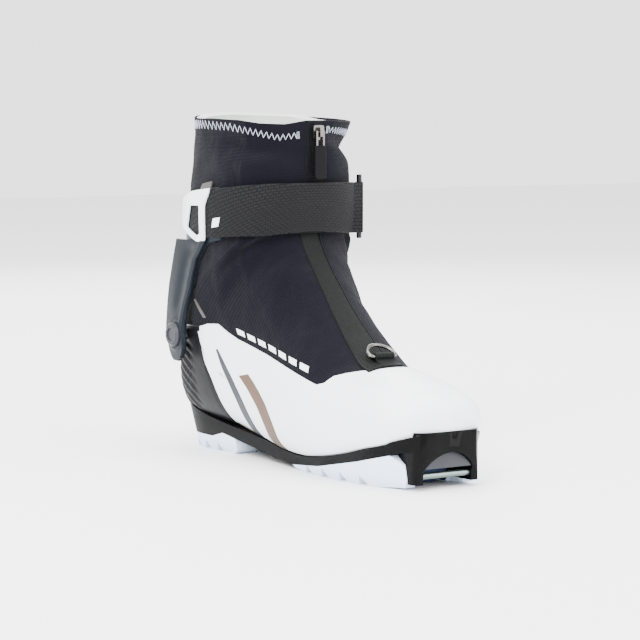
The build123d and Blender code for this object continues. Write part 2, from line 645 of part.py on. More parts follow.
with BuildPart() as strap_base:
    add(panel(around(STRAP_END, STRAP_START, 20), strap_low, strap_high, *STRAP_LAYER))
finish(strap_base.part, "strap_base")

with BuildPart() as strap_flap:
    add(panel(around(STRAP_END, FLAP_START, 16), strap_low, strap_high, *FLAP_LAYER))
finish(strap_flap.part, "strap_flap")

with BuildPart() as ring_strap:
    add(panel(around(ANCHOR_END, ANCHOR_START, 10), strap_low, strap_high, *STRAP_LAYER))
finish(ring_strap.part, "ring_strap")

with BuildPart() as strap_ring:
    for centre in (near_bar, far_bar):
        add(bar_cylinder(centre, RING_R, RING_LOW, RING_HIGH))
    ring_plane = Plane(origin=(RING_X, RING_Y, 0), x_dir=ring_along, z_dir=(0, 0, 1))
    for z in (RING_LOW, RING_HIGH):
        with BuildSketch(ring_plane.offset(z - RING_R)):
            SlotCenterToCenter(RING_SPAN, 2 * RING_R)
        extrude(amount=2 * RING_R)
finish(strap_ring.part, "strap_ring")

with BuildPart() as strap_fold:
    fold_plane = Plane(origin=(near_bar.X, near_bar.Y, 0), x_dir=ring_along, z_dir=(0, 0, 1))
    with BuildSketch(fold_plane.offset(STRAP_LOW + 2)):
        Circle(RING_R + 1.3)
        Circle(RING_R + 0.1, mode=Mode.SUBTRACT)
        with Locations((-5, 0)):
            Rectangle(10, 10, mode=Mode.SUBTRACT)
    extrude(amount=STRAP_HIGH - STRAP_LOW - 4)
finish(strap_fold.part, "strap_fold")

# ---- zip slider and pull -----------------------------------------------------------------------
PLATE_X = (-7.6, -6.2)              # slider plate, just ahead of the teeth
LINK_X = -4.9                       # pull link axis, through the slider's bridge
LINK_R = 0.7
LINK_HALF = 3.2
TAB_TOP, TAB_BOTTOM = 205.5, 184.0

with BuildPart() as zip_slider:
    add(block(PLATE_X, (-4.0, 4.0), (SLIDER_Z - 5, SLIDER_Z + 4.5)))
    fillet(zip_slider.edges().filter_by(Axis.X), radius=1.5)
    add(block((PLATE_X[1] - 0.5, -2.9), (-1.0, 1.0), (SLIDER_Z - 3.2, SLIDER_Z + 3.2)))
    fillet(zip_slider.edges().filter_by(Axis.Y).group_by(Axis.X)[-1], radius=1.2)
    with BuildSketch(Plane.XZ.offset(-5)):
        with Locations((LINK_X, SLIDER_Z)):
            Circle(LINK_R + 0.08)
    extrude(amount=10, mode=Mode.SUBTRACT)
finish(zip_slider.part, "zip_slider")

with BuildPart() as pull_link:
    with BuildSketch(Plane.XZ.offset(-LINK_HALF + 0.2)):
        with Locations((LINK_X, SLIDER_Z)):
            Circle(LINK_R)
    extrude(amount=2 * LINK_HALF - 0.4)
    for side in (-1, 1):
        arm_y = sorted((side * (LINK_HALF - 1.3), side * LINK_HALF))
        add(block((LINK_X - 0.6, LINK_X + 0.6), arm_y, (TAB_TOP - 2, SLIDER_Z + 0.9)))
finish(pull_link.part, "pull_link")

with BuildPart() as pull_tab:
    add(block((LINK_X - 1.2, LINK_X + 1.2), (-4.2, 4.2), (TAB_BOTTOM, TAB_TOP)))
    fillet(pull_tab.edges().filter_by(Axis.X), radius=1.6)
    chamfer(pull_tab.faces().sort_by(Axis.X)[-1].edges(), length=0.5)
    for side in (-1, 1):
        middle = side * (LINK_HALF - 0.7)
        add(block((LINK_X - 0.75, LINK_X + 0.75), (middle - 0.75, middle + 0.75),
                  (TAB_TOP - 2.05, TAB_TOP + 1)), mode=Mode.SUBTRACT)
finish(pull_tab.part, "pull_tab")

# ---- lace hook ring on the instep --------------------------------------------------------------
RING_BAR_X, RING_BAR_Z = 67.0, 75.0     # hinge bar of the D-ring
D_WIRE, D_HALF, D_SIDE = 1.2, 9.6, 2.4
D_BEND = 2.2                            # radius of the bends beside the bar
D_TILT = 150.0                          # direction of the D from its bar, degrees above +X

d_plane = Plane(origin=(RING_BAR_X, 0, RING_BAR_Z), x_dir=(0, 1, 0),
                z_dir=(sin(radians(D_TILT)), 0, -cos(radians(D_TILT))))
with BuildPart() as d_ring:
    with BuildLine(d_plane) as d_path:
        Polyline((-D_HALF, D_SIDE), (-D_HALF, 0), (D_HALF, 0), (D_HALF, D_SIDE))
        ThreePointArc((D_HALF, D_SIDE), (0, D_SIDE + D_HALF), (-D_HALF, D_SIDE))
        fillet(d_path.vertices().sort_by(Axis.Z)[:2], radius=D_BEND)
    with BuildSketch(Plane(origin=(RING_BAR_X, 0, RING_BAR_Z), x_dir=(1, 0, 0), z_dir=(0, 1, 0))):
        Circle(D_WIRE)
    sweep(path=d_path.wire())
finish(d_ring.part, "d_ring")

TAB_HALF, TAB_WALL = 6.8, 1.2             # webbing tab that holds the bar
with BuildPart() as d_ring_tab:
    add(block((RING_BAR_X - 1.5, RING_BAR_X + 7), (-TAB_HALF, TAB_HALF), (66, 73.2)))
    add(form_core(1.1, 3.0, 9.0, rows=12, count=36), mode=Mode.SUBTRACT)
    with BuildSketch(Plane.XZ.offset(-TAB_HALF)):
        with Locations((RING_BAR_X, RING_BAR_Z)):
            Circle(D_WIRE + TAB_WALL)
    extrude(amount=2 * TAB_HALF)
    with BuildSketch(Plane.XZ.offset(-TAB_HALF - 1)):
        with Locations((RING_BAR_X, RING_BAR_Z)):
            Circle(D_WIRE + 0.06)
    extrude(amount=2 * TAB_HALF + 2, mode=Mode.SUBTRACT)
finish(d_ring_tab.part, "d_ring_tab")

# ---- rear pull loop ----------------------------------------------------------------------------
LOOP_HALF, LOOP_LOW, LOOP_HIGH, LOOP_THICK = 7.0, 186.0, 219.5, 1.6
with BuildPart() as rear_pull_loop:
    with BuildSketch(Plane.XZ.offset(-LOOP_HALF)):
        with BuildLine():
            Polyline((-121.6, LOOP_LOW), (-123.2, LOOP_LOW), (-130.0, 200), (-130.5, 213),
                     (-126, LOOP_HIGH), (-120.0, LOOP_HIGH), (-120.0, LOOP_HIGH - LOOP_THICK),
                     (-125.4, LOOP_HIGH - LOOP_THICK), (-128.9, 212.4), (-128.4, 200.4), close=True)
        make_face()
    extrude(amount=2 * LOOP_HALF)
finish(rear_pull_loop.part, "rear_pull_loop")
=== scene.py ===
"""Looks of the cross country boot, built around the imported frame.

Lengths in the tables below are millimetres in the frame of the model (X from heel to toe, +Y medial,
+Z up); every mesh is written in metres.
"""
import math

import bmesh
import bpy
import numpy as np
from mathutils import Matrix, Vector


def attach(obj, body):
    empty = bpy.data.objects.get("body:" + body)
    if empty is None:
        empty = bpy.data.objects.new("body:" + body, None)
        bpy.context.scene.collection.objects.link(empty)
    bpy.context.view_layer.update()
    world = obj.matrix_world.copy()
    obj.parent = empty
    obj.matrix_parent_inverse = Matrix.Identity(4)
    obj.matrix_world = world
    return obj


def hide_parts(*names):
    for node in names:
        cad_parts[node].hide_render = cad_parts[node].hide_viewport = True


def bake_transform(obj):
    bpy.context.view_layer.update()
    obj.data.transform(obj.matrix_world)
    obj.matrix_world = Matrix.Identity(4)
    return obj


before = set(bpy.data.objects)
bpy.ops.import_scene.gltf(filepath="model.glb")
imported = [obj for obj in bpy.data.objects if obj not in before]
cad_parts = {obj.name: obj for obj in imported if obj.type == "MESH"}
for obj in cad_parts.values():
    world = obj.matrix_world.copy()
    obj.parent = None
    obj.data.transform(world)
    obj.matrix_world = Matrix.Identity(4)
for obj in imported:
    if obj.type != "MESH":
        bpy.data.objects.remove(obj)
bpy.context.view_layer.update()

MM = 0.001
LATERAL, MEDIAL = -1, 1
SIDES = ((LATERAL, "lateral"), (MEDIAL, "medial"))

# ---- the foot form -----------------------------------------------------------------------------
# Slices from toe to collar: front line x, z; sole or back line x, z; lateral and medial half width;
# how far down the slice the widest point lies; roundness exponents above and below it.
STATIONS = np.array((
    (137.2, 46.0, 137.2, 30.0, 0.6, 0.6, .55, 2.2, 2.6),
    (134.2, 52.0, 134.2, 28.0, 19.0, 19.5, .56, 2.2, 2.8),
    (126.8, 57.0, 125.8, 25.5, 30.0, 31.5, .60, 2.2, 3.0),
    (114.8, 61.3, 112.8, 22.0, 38.0, 38.0, .62, 2.2, 3.2),
    (97.8, 65.3, 94.8, 18.0, 43.0, 41.5, .64, 2.2, 3.4),
    (79.2, 68.8, 74.8, 14.0, 46.5, 44.0, .66, 2.1, 3.6),
    (61.5, 73.0, 54.8, 10.5, 48.0, 45.0, .66, 2.0, 3.6),
    (43.0, 84.4, 32.8, 8.0, 48.0, 45.0, .66, 2.0, 3.6),
    (24.8, 99.5, 8.8, 7.5, 46.0, 44.0, .66, 2.05, 3.4),
    (6.2, 117.0, -19.2, 9.5, 43.5, 44.5, .64, 2.15, 3.2),
    (-7.2, 131.0, -57.0, 14.0, 43.0, 47.5, .58, 2.3, 3.0),
    (-15.2, 142.5, -107.0, 15.0, 45.0, 49.0, .50, 2.4, 2.9),
    (-17.8, 151.0, -133.0, 26.0, 47.5, 50.0, .42, 2.5, 2.6),
    (-17.2, 158.0, -137.0, 50.0, 49.5, 50.5, .40, 2.5, 2.3),
    (-15.8, 165.0, -135.0, 80.0, 50.0, 50.5, .42, 2.5, 2.1),
    (-13.8, 172.5, -130.0, 112.0, 50.5, 50.5, .44, 2.4, 2.0),
    (-11.8, 182.0, -125.3, 143.0, 51.0, 50.0, .47, 2.3, 2.1),
    (-10.2, 195.0, -122.2, 172.0, 50.5, 49.0, .49, 2.2, 2.1),
    (-9.8, 208.0, -120.2, 198.0, 48.5, 48.0, .50, 2.1, 2.1),
    (-10.2, 221.5, -118.8, 223.0, 46.0, 50.0, .50, 2.1, 2.1),
    (-10.6, 234.0, -118.0, 236.0, 44.0, 50.0, .50, 2.1, 2.1),
))
LAST_STATION = len(STATIONS) - 1
STATION_STEP = 0.02


def station_at(s):
    """Catmull-Rom blend of the station table at fractional station numbers."""
    padded = np.vstack((2 * STATIONS[0] - STATIONS[1], STATIONS, 2 * STATIONS[-1] - STATIONS[-2]))
    index = np.clip(np.floor(s).astype(int), 0, LAST_STATION - 1)
    t = (s - index)[..., None]
    a, b, c, d = (padded[index + step] for step in range(4))
    return 0.5 * (2 * b + (c - a) * t + (2 * a - 5 * b + 4 * c - d) * t ** 2
                  + (3 * b - a - 3 * c + d) * t ** 3)


def skin(s, phi):
    """Points on the outer surface: phi is 0 on the front line, 90 lateral and 180 underneath."""
    s, phi = np.broadcast_arrays(np.asarray(s, float), np.asarray(phi, float))
    values = np.moveaxis(station_at(s), -1, 0)
    front_x, front_z, back_x, back_z, lateral, medial, widest, n_top, n_bottom = values
    c, sine = np.cos(np.radians(phi)), np.sin(np.radians(phi))
    power = 2 / np.where(c >= 0, n_top, n_bottom)
    along = widest + np.where(c >= 0, -widest, 1 - widest) * np.abs(c) ** power
    half = np.where(sine >= 0, lateral, medial)
    side = -half * np.sign(sine) * np.abs(sine) ** power
    return np.stack((front_x + (back_x - front_x) * along, side, front_z + (back_z - front_z) * along), -1)


def unit(vectors):
    """The vectors at unit length."""
    return vectors / np.maximum(np.linalg.norm(vectors, axis=-1, keepdims=True), 1e-9)


def normal(s, phi):
    """Outward normals of the outer surface, turned to +X where the toe closes."""
    s, phi = np.broadcast_arrays(np.asarray(s, float), np.asarray(phi, float))
    probe = np.clip(s, 0.5, LAST_STATION - 0.05)
    along = skin(probe + 0.05, phi) - skin(probe - 0.05, phi)
    across = skin(probe, phi + 3) - skin(probe, phi - 3)
    out = unit(np.cross(along, across))
    centre = (skin(probe, 0 * phi) + skin(probe, 0 * phi + 180)) / 2
    out = out * np.where(np.sum(out * (skin(probe, phi) - centre), -1, keepdims=True) < 0, -1, 1)
    share = np.minimum(s / 0.5, 1)[..., None]
    return unit(out * share + np.array((1.0, 0, 0)) * (1 - share))


def layer(s, phi, height):
    """Points at a height above the outer surface."""
    return skin(s, phi) + normal(s, phi) * np.asarray(height, float)[..., None]


def crossing(phis, value, start=0.0):
    """For each angle, the first station past start where value(x, z) of the side view turns positive."""
    stations = np.arange(start, LAST_STATION, STATION_STEP)[:, None]
    points = skin(stations, np.asarray(phis, float)[None, :])
    signed = value(points[..., 0], points[..., 2])
    found = np.any(signed > 0, axis=0)
    first = np.maximum(np.argmax(signed > 0, axis=0), 1)
    column = np.arange(signed.shape[1])
    low, high = signed[first - 1, column], signed[first, column]
    share = np.clip(-low / np.where(high == low, 1, high - low), 0, 1)
    return np.where(found, stations[first - 1, 0] + STATION_STEP * share, LAST_STATION)


def above(line):
    """A side view test: positive above the line of (x, z) points."""
    xs, zs = zip(*line)
    return lambda x, z: z - np.interp(x, xs, zs)


def locate(x, z, side):
    """Station and angle of the surface point on one side with the given side view place."""
    stations, angles = np.meshgrid(np.arange(0.4, 19.6, 0.1), np.arange(22.0, 152.0, 1.0), indexing="ij")
    sign = 1 if side == LATERAL else -1
    table = skin(stations, sign * angles)
    x, z = np.asarray(x, float), np.asarray(z, float)
    found_s, found_phi = np.empty(x.shape), np.empty(x.shape)
    for index in np.ndindex(x.shape):
        gap = (table[..., 0] - x[index]) ** 2 + (table[..., 2] - z[index]) ** 2
        best = np.unravel_index(np.argmin(gap), gap.shape)
        found_s[index], found_phi[index] = stations[best], sign * angles[best]
    for _ in range(6):
        here = skin(found_s, found_phi)
        by_s = (skin(found_s + 0.01, found_phi) - here) / 0.01
        by_phi = (skin(found_s, found_phi + 0.1) - here) / 0.1
        gap_x, gap_z = x - here[..., 0], z - here[..., 2]
        area = by_s[..., 0] * by_phi[..., 2] - by_s[..., 2] * by_phi[..., 0]
        area = np.where(np.abs(area) < 1e-6, 1e-6, area)
        found_s = found_s + np.clip((gap_x * by_phi[..., 2] - gap_z * by_phi[..., 0]) / area, -0.3, 0.3)
        found_phi = found_phi + np.clip((gap_z * by_s[..., 0] - gap_x * by_s[..., 2]) / area, -4, 4)
    return found_s, found_phi


def smooth(low, high, value):
    """A soft step from 0 at low to 1 at high."""
    t = np.clip((value - low) / (high - low), 0, 1)
    return t * t * (3 - 2 * t)


# ---- meshes ------------------------------------------------------------------------------------
def arc_lengths(points, axis):
    """Distance run along one axis of a grid of points, as that grid's texture coordinate."""
    steps = np.linalg.norm(np.diff(points, axis=axis), axis=-1)
    start = np.zeros_like(np.take(steps, [0], axis=axis))
    return np.cumsum(np.concatenate((start, steps), axis=axis), axis=axis)


def make_object(name, verts, faces, uvs, material, sharp):
    """A mesh object from points in millimetres, with one texture coordinate per point."""
    mesh = bpy.data.meshes.new(name)
    mesh.from_pydata([tuple(v) for v in np.asarray(verts) * MM], [], [tuple(f) for f in faces])
    uv_layer = mesh.uv_layers.new(name="UVMap")
    corners = np.empty(len(mesh.loops), int)
    mesh.loops.foreach_get("vertex_index", corners)
    uv_layer.data.foreach_set("uv", (uvs * MM)[corners].ravel())
    edit = bmesh.new()
    edit.from_mesh(mesh)
    bmesh.ops.recalc_face_normals(edit, faces=edit.faces)
    edit.to_mesh(mesh)
    edit.free()
    mesh.shade_smooth()
    mesh.set_sharp_from_angle(angle=math.radians(sharp))
    mesh.materials.append(material)
    obj = bpy.data.objects.new(name, mesh)
    bpy.context.scene.collection.objects.link(obj)
    return obj


def slab(name, outer, inner, material, closed=False, bulge=0.35, run=None, blunt_start=False):
    """A closed sheet between two grids of points, with rolled edges; closed joins its columns.

    Its texture coordinates are lengths: around, from the mean row, and along, from run or the mean
    column. The first row's edge stays flat when blunt_start is set.
    """
    rows, columns = outer.shape[:2]
    count = rows * columns
    row_end, column_end = rows - 1, columns - 1
    verts = [outer.reshape(-1, 3), inner.reshape(-1, 3)]
    u = np.broadcast_to(arc_lengths(outer, 1).mean(0), (rows, columns))
    v = np.broadcast_to(arc_lengths(outer, 0).mean(1)[:, None], (rows, columns)) if run is None else run
    uv = np.stack((u, v), -1).reshape(-1, 2)
    uvs = [uv, uv]
    faces = []
    for i in range(row_end):
        for j in range(columns if closed else column_end):
            k = (j + 1) % columns
            a, b, c, d = i * columns + j, i * columns + k, (i + 1) * columns + k, (i + 1) * columns + j
            faces.append((a, b, c, d))
            faces.append((a + count, d + count, c + count, b + count))
    if closed:
        loops = [[(row, j) for j in range(columns)] for row in (0, row_end)]
    else:
        loops = [[(0, j) for j in range(columns)] + [(i, column_end) for i in range(1, rows)]
                 + [(row_end, j) for j in reversed(range(column_end))]
                 + [(i, 0) for i in range(row_end - 1, 0, -1)]]
    base = 2 * count
    for loop in loops:
        middle = []
        for i, j in loop:
            out = np.zeros(3)
            if i in (0, row_end):
                out = out + unit(outer[i, j] - outer[1 if i == 0 else row_end - 1, j])
            if not closed and j in (0, column_end):
                out = out + unit(outer[i, j] - outer[i, 1 if j == 0 else column_end - 1])
            thick = np.linalg.norm(outer[i, j] - inner[i, j])
            reach = 0 if blunt_start and i == 0 else bulge
            middle.append((outer[i, j] + inner[i, j]) / 2 + unit(out) * thick * reach)
        verts.append(np.array(middle))
        uvs.append(np.array([uv[i * columns + j] for i, j in loop]))
        for n, (i, j) in enumerate(loop):
            m = (n + 1) % len(loop)
            a, b = i * columns + j, loop[m][0] * columns + loop[m][1]
            faces.append((a, base + n, base + m, b))
            faces.append((a + count, b + count, base + m, base + n))
        base += len(loop)
    return make_object(name, np.vstack(verts), faces, np.vstack(uvs), material, 50.0)


def sheet(name, s, phi, height, thick, material, **options):
    """A slab of one thickness whose outer face lies at a height above the outer surface."""
    return slab(name, layer(s, phi, height), layer(s, phi, height - thick), material, **options)


RUN_STATIONS = np.arange(0, LAST_STATION, 0.1)
RUN_LENGTHS = arc_lengths(skin(RUN_STATIONS, 60.0), 0)


def run_along(s):
    """Length along the side of the boot from the toe to a station."""
    return np.interp(s, RUN_STATIONS, RUN_LENGTHS)


def edged(count, margin=0.004):
    """Shares from 0 to 1 with one extra step close to each end, which keeps an edge crisp."""
    return np.concatenate(([0.0, margin], np.linspace(0, 1, count)[1:-1], [1 - margin, 1.0]))


def height_of(height, s, phi):
    """A height given as a number or as a function of station and angle, on a whole grid."""
    return height(s, phi) if callable(height) else np.full(s.shape, float(height))


def patch(name, phis, low, high, height, thick, material, rows=40, closed=False, bulge=0.35, toe=False):
    """A sheet of the layer from station low to high at each angle; toe closes its first row."""
    low, high = np.broadcast_arrays(low, high, phis)[:2]
    s = low + (high - low) * edged(rows)[:, None]
    phi = np.broadcast_to(phis, s.shape)
    top = height_of(height, s, phi)
    outer, inner = layer(s, phi, top), layer(s, phi, top - thick)
    if toe:                                             # both sides meet on the centre line
        outer[0, :, 1], inner[0, :, 1] = 0, 0
    return slab(name, outer, inner, material, closed, bulge, run=run_along(s), blunt_start=toe)


def tube(name, path, radius, material, sides=8):
    """A round tube through points in millimetres, with capped ends."""
    count = len(path)
    ahead = unit(np.gradient(path, axis=0))
    up = np.array((0.0, 0, 1.0))
    across = unit(np.cross(ahead, np.where(np.abs(ahead @ up)[:, None] > 0.95, (0.0, 1.0, 0.0), up)))
    for n in range(1, count):
        carried = across[n - 1] - ahead[n] * (across[n - 1] @ ahead[n])
        across[n] = carried / max(np.linalg.norm(carried), 1e-9)
    third = np.cross(ahead, across)
    turns = np.arange(sides) * 2 * math.pi / sides
    ring = across[:, None] * np.cos(turns)[None, :, None] + third[:, None] * np.sin(turns)[None, :, None]
    verts = (path[:, None] + ring * radius).reshape(-1, 3)
    run = arc_lengths(path, 0)
    uvs = np.stack(np.broadcast_arrays(turns[None, :] * radius, run[:, None]), -1).reshape(-1, 2)
    faces = []
    for i in range(count - 1):
        for k in range(sides):
            m = (k + 1) % sides
            faces.append((i * sides + k, i * sides + m, (i + 1) * sides + m, (i + 1) * sides + k))
    faces.append(tuple(reversed(range(sides))))
    faces.append(tuple((count - 1) * sides + k for k in range(sides)))
    return make_object(name, verts, faces, uvs, material, 60.0)


def join(name, parts):
    """One object from several, keeping the first one's material."""
    for part in parts:
        part.select_set(True)
    with bpy.context.temp_override(active_object=parts[0], object=parts[0], selected_objects=parts,
                                   selected_editable_objects=parts):
        bpy.ops.object.join()
    parts[0].name = parts[0].data.name = name
    return parts[0]


def resample(points, count, closed=False):
    """Evenly spaced points along a polyline."""
    points = np.asarray(points, float)
    if closed:
        points = np.vstack((points, points[:1]))
    run = arc_lengths(points, 0)
    places = np.linspace(0, run[-1], count + 1)[:-1] if closed else np.linspace(0, run[-1], count)
    return np.stack([np.interp(places, run, points[:, axis]) for axis in range(points.shape[1])], -1)


def rounded(points, passes=2, closed=False):
    """A polyline with its corners eased by local averaging."""
    for _ in range(passes):
        if closed:
            points = (np.roll(points, 1, 0) + 2 * points + np.roll(points, -1, 0)) / 4
        else:
            inside = (points[:-2] + 2 * points[1:-1] + points[2:]) / 4
            points = np.vstack((points[:1], inside, points[-1:]))
    return points


# ---- materials ---------------------------------------------------------------------------------
class Shader:
    """A node material under construction around one Principled shader."""

    def __init__(self, name, colour, roughness, **settings):
        self.material = bpy.data.materials.new(name)
        self.material.use_nodes = True
        self.material.diffuse_color = (*colour, 1)
        self.nodes, self.links = self.material.node_tree.nodes, self.material.node_tree.links
        self.shader = self.nodes["Principled BSDF"]
        self.shader.inputs["Base Color"].default_value = (*colour, 1)
        self.shader.inputs["Roughness"].default_value = roughness
        for key, value in settings.items():
            self.shader.inputs[key.replace("_", " ")].default_value = value
        self.colour, self.relief = colour, None
        coordinates = self.nodes.new("ShaderNodeTexCoord")
        self.uv, self.place = coordinates.outputs["UV"], coordinates.outputs["Object"]

    def connect(self, target, value):
        """Feeds an input from a socket or a plain value."""
        if isinstance(value, bpy.types.NodeSocket):
            self.links.new(value, target)
        else:
            target.default_value = value

    def math(self, operation, a, b=0.0, c=0.0, clamp=False):
        """The result of a math node on sockets or plain values."""
        node = self.nodes.new("ShaderNodeMath")
        node.operation, node.use_clamp = operation, clamp
        for target, value in zip(node.inputs, (a, b, c)):
            self.connect(target, value)
        return node.outputs[0]

    def split(self, vector):
        """The three components of a vector."""
        node = self.nodes.new("ShaderNodeSeparateXYZ")
        self.links.new(vector, node.inputs[0])
        return node.outputs

    def scaled(self, vector, scale):
        """A vector with each component multiplied."""
        node = self.nodes.new("ShaderNodeMapping")
        self.links.new(vector, node.inputs["Vector"])
        node.inputs["Scale"].default_value = scale
        return node.outputs[0]

    def noise(self, vector, size_mm, detail=2.0, roughness=0.5):
        """Noise from 0 to 1 with features of about the given size."""
        node = self.nodes.new("ShaderNodeTexNoise")
        self.links.new(vector, node.inputs["Vector"])
        node.inputs["Scale"].default_value = 1 / (size_mm * MM)
        node.inputs["Detail"].default_value = detail
        node.inputs["Roughness"].default_value = roughness
        return node.outputs["Fac"]

    def wave(self, coordinate, pitch_mm):
        """A sine from 0 to 1 of the given pitch along one coordinate."""
        turns = self.math("MULTIPLY", coordinate, 2 * math.pi / (pitch_mm * MM))
        return self.math("MULTIPLY_ADD", self.math("SINE", turns), 0.5, 0.5)

    def bricks(self, vector, width_mm, row_mm, mortar_mm):
        """A brick pattern's mask, 1 on the bricks and 0 in the joints."""
        node = self.nodes.new("ShaderNodeTexBrick")
        self.links.new(vector, node.inputs["Vector"])
        node.inputs["Scale"].default_value = 1.0
        node.inputs["Brick Width"].default_value = width_mm * MM
        node.inputs["Row Height"].default_value = row_mm * MM
        node.inputs["Mortar Size"].default_value = mortar_mm * MM
        node.inputs["Mortar Smooth"].default_value = 0.6
        return self.math("SUBTRACT", 1.0, node.outputs["Fac"])

    def mix(self, factor, a, b):
        """A colour between two, by a factor."""
        node = self.nodes.new("ShaderNodeMix")
        node.data_type = "RGBA"
        self.connect(node.inputs["Factor"], factor)
        for socket, value in ((node.inputs[6], a), (node.inputs[7], b)):
            self.connect(socket, value if isinstance(value, bpy.types.NodeSocket) else (*value, 1))
        return node.outputs[2]

    def tint(self, factor, low, high):
        """Colours the base between two multiples of its own colour."""
        colour = self.mix(factor, [c * low for c in self.colour], [c * high for c in self.colour])
        self.links.new(colour, self.shader.inputs["Base Color"])
        return self

    def vary_roughness(self, factor, low, high):
        """Runs the roughness from low to high."""
        value = self.math("MULTIPLY_ADD", factor, high - low, low, clamp=True)
        self.links.new(value, self.shader.inputs["Roughness"])
        return self

    def bump(self, height, depth_mm):
        """Adds a bump of the given depth on top of any earlier one."""
        node = self.nodes.new("ShaderNodeBump")
        node.inputs["Strength"].default_value = 1.0
        node.inputs["Distance"].default_value = depth_mm * MM
        self.links.new(height, node.inputs["Height"])
        if self.relief is not None:
            self.links.new(self.relief, node.inputs["Normal"])
        self.relief = node.outputs[0]
        self.links.new(self.relief, self.shader.inputs["Normal"])
        return self


def plastic(name, colour, roughness, grain_mm=0.5, depth_mm=0.03, spread=0.08, **settings):
    """Moulded plastic: fine grain, slow colour drift and uneven gloss."""
    made = Shader(name, colour, roughness, **settings)
    made.tint(made.noise(made.place, 14, 3), 0.92, 1.08)
    made.vary_roughness(made.noise(made.place, 5, 4), roughness - spread, roughness + spread)
    made.bump(made.noise(made.place, grain_mm, 3), depth_mm)
    return made.material


def polished(name, colour, roughness):
    """Plated metal with fine hairlines and small dents."""
    made = Shader(name, colour, roughness, Metallic=1.0)
    made.tint(made.noise(made.place, 6, 3), 0.85, 1.1)
    hairs = made.noise(made.scaled(made.place, (1, 1, 14)), 1.6, 4)
    made.vary_roughness(hairs, roughness * 0.6, roughness * 1.7)
    made.bump(hairs, 0.012)
    made.bump(made.noise(made.place, 2.5, 2), 0.03)
    return made.material


def knit(name, colour, pitch_mm=1.25, zig_mm=2.4, depth_mm=0.22):
    """Stretch softshell: a fine zigzag knit with a slow fade and a little sheen."""
    made = Shader(name, colour, 0.9, Sheen_Weight=0.04, Sheen_Roughness=0.5, Specular_IOR_Level=0.03)
    u, v, _ = made.split(made.uv)
    zig = made.math("PINGPONG", v, zig_mm * MM / 2)
    jitter = made.math("MULTIPLY", made.noise(made.uv, 6, 2), 0.9 * MM)
    rib = made.wave(made.math("ADD", made.math("ADD", u, zig), jitter), pitch_mm)
    stitch = made.math("MULTIPLY", rib, made.math("MULTIPLY_ADD", made.wave(v, zig_mm / 2), 0.45, 0.55))
    flecks = made.noise(made.uv, 0.8, 3)
    shade = made.math("ADD", made.math("MULTIPLY", stitch, 0.6), made.math("MULTIPLY", flecks, 0.4))
    made.tint(shade, 0.35, 2.0)
    made.bump(made.noise(made.uv, 22, 2), 1.6)
    made.bump(stitch, depth_mm)
    return made.material


def webbing(name, colour, row_mm=2.35, dash_mm=3.4, depth_mm=0.35):
    """Woven elastic: rows of offset dashes along the strap, darker between the rows."""
    made = Shader(name, colour, 0.66, Sheen_Weight=0.02, Specular_IOR_Level=0.07)
    dashes = made.bricks(made.uv, dash_mm, row_mm, 0.42)
    fibre = made.noise(made.scaled(made.uv, (1, 5, 1)), 0.9, 3)
    made.tint(made.math("MULTIPLY", dashes, made.math("MULTIPLY_ADD", fibre, 0.8, 0.3)), 0.5, 2.3)
    made.vary_roughness(fibre, 0.5, 0.75)
    made.bump(dashes, depth_mm)
    made.bump(fibre, 0.12)
    return made.material


def ribbed(name, colour, pitch_mm=1.35):
    """Coated tape with ribs along its length."""
    made = Shader(name, colour, 0.55, Specular_IOR_Level=0.06)
    u, v, _ = made.split(made.uv)
    ribs = made.wave(u, pitch_mm)
    cross = made.wave(v, 0.8)
    wear = made.math("MULTIPLY", made.noise(made.uv, 3, 3), 0.4)
    made.tint(made.math("MULTIPLY_ADD", ribs, 0.7, wear), 0.55, 1.35)
    made.vary_roughness(made.noise(made.uv, 4, 3), 0.45, 0.65)
    made.bump(ribs, 0.22)
    made.bump(cross, 0.05)
    return made.material


def fleece(name, colour):
    """Brushed lining: short soft pile."""
    made = Shader(name, colour, 0.95, Sheen_Weight=0.5, Sheen_Roughness=0.6, Specular_IOR_Level=0.15)
    pile = made.noise(made.uv, 1.1, 4, 0.7)
    fade = made.math("MULTIPLY", made.noise(made.uv, 12, 2), 0.35)
    made.tint(made.math("MULTIPLY_ADD", pile, 0.7, fade), 0.7, 1.2)
    made.bump(made.noise(made.uv, 9, 2), 0.6)
    made.bump(pile, 0.35)
    return made.material


def overlay_white(name):
    """Satin moulded overlay: a trace of blue, faint moulding waves and a fine leather grain."""
    made = Shader(name, (0.83, 0.845, 0.90), 0.36, Coat_Weight=0.12, Coat_Roughness=0.3)
    made.tint(made.noise(made.place, 40, 2), 0.975, 1.02)
    made.vary_roughness(made.noise(made.place, 7, 4), 0.30, 0.44)
    made.bump(made.noise(made.place, 30, 2), 0.35)
    made.bump(made.noise(made.place, 0.7, 3), 0.035)
    return made.material


def rubber_sole(name):
    """Pale tread rubber, with painted shade that greys it low down and in the grooves, in a random mottle."""
    made = Shader(name, (0.64, 0.735, 0.90), 0.48)
    _, _, z = made.split(made.place)
    shade_mottle = made.math("MULTIPLY", made.noise(made.place, 6, 3), 0.5)
    # painted shade: the rubber is tinted darker over its lowest 9 mm, unevenly by the random mottle
    made.tint(made.math("MULTIPLY_ADD", z, 1 / (9 * MM), shade_mottle, clamp=True), 0.86, 1.05)
    made.vary_roughness(made.noise(made.place, 4, 4), 0.40, 0.58)
    made.bump(made.noise(made.place, 0.9, 3), 0.06)
    return made.material


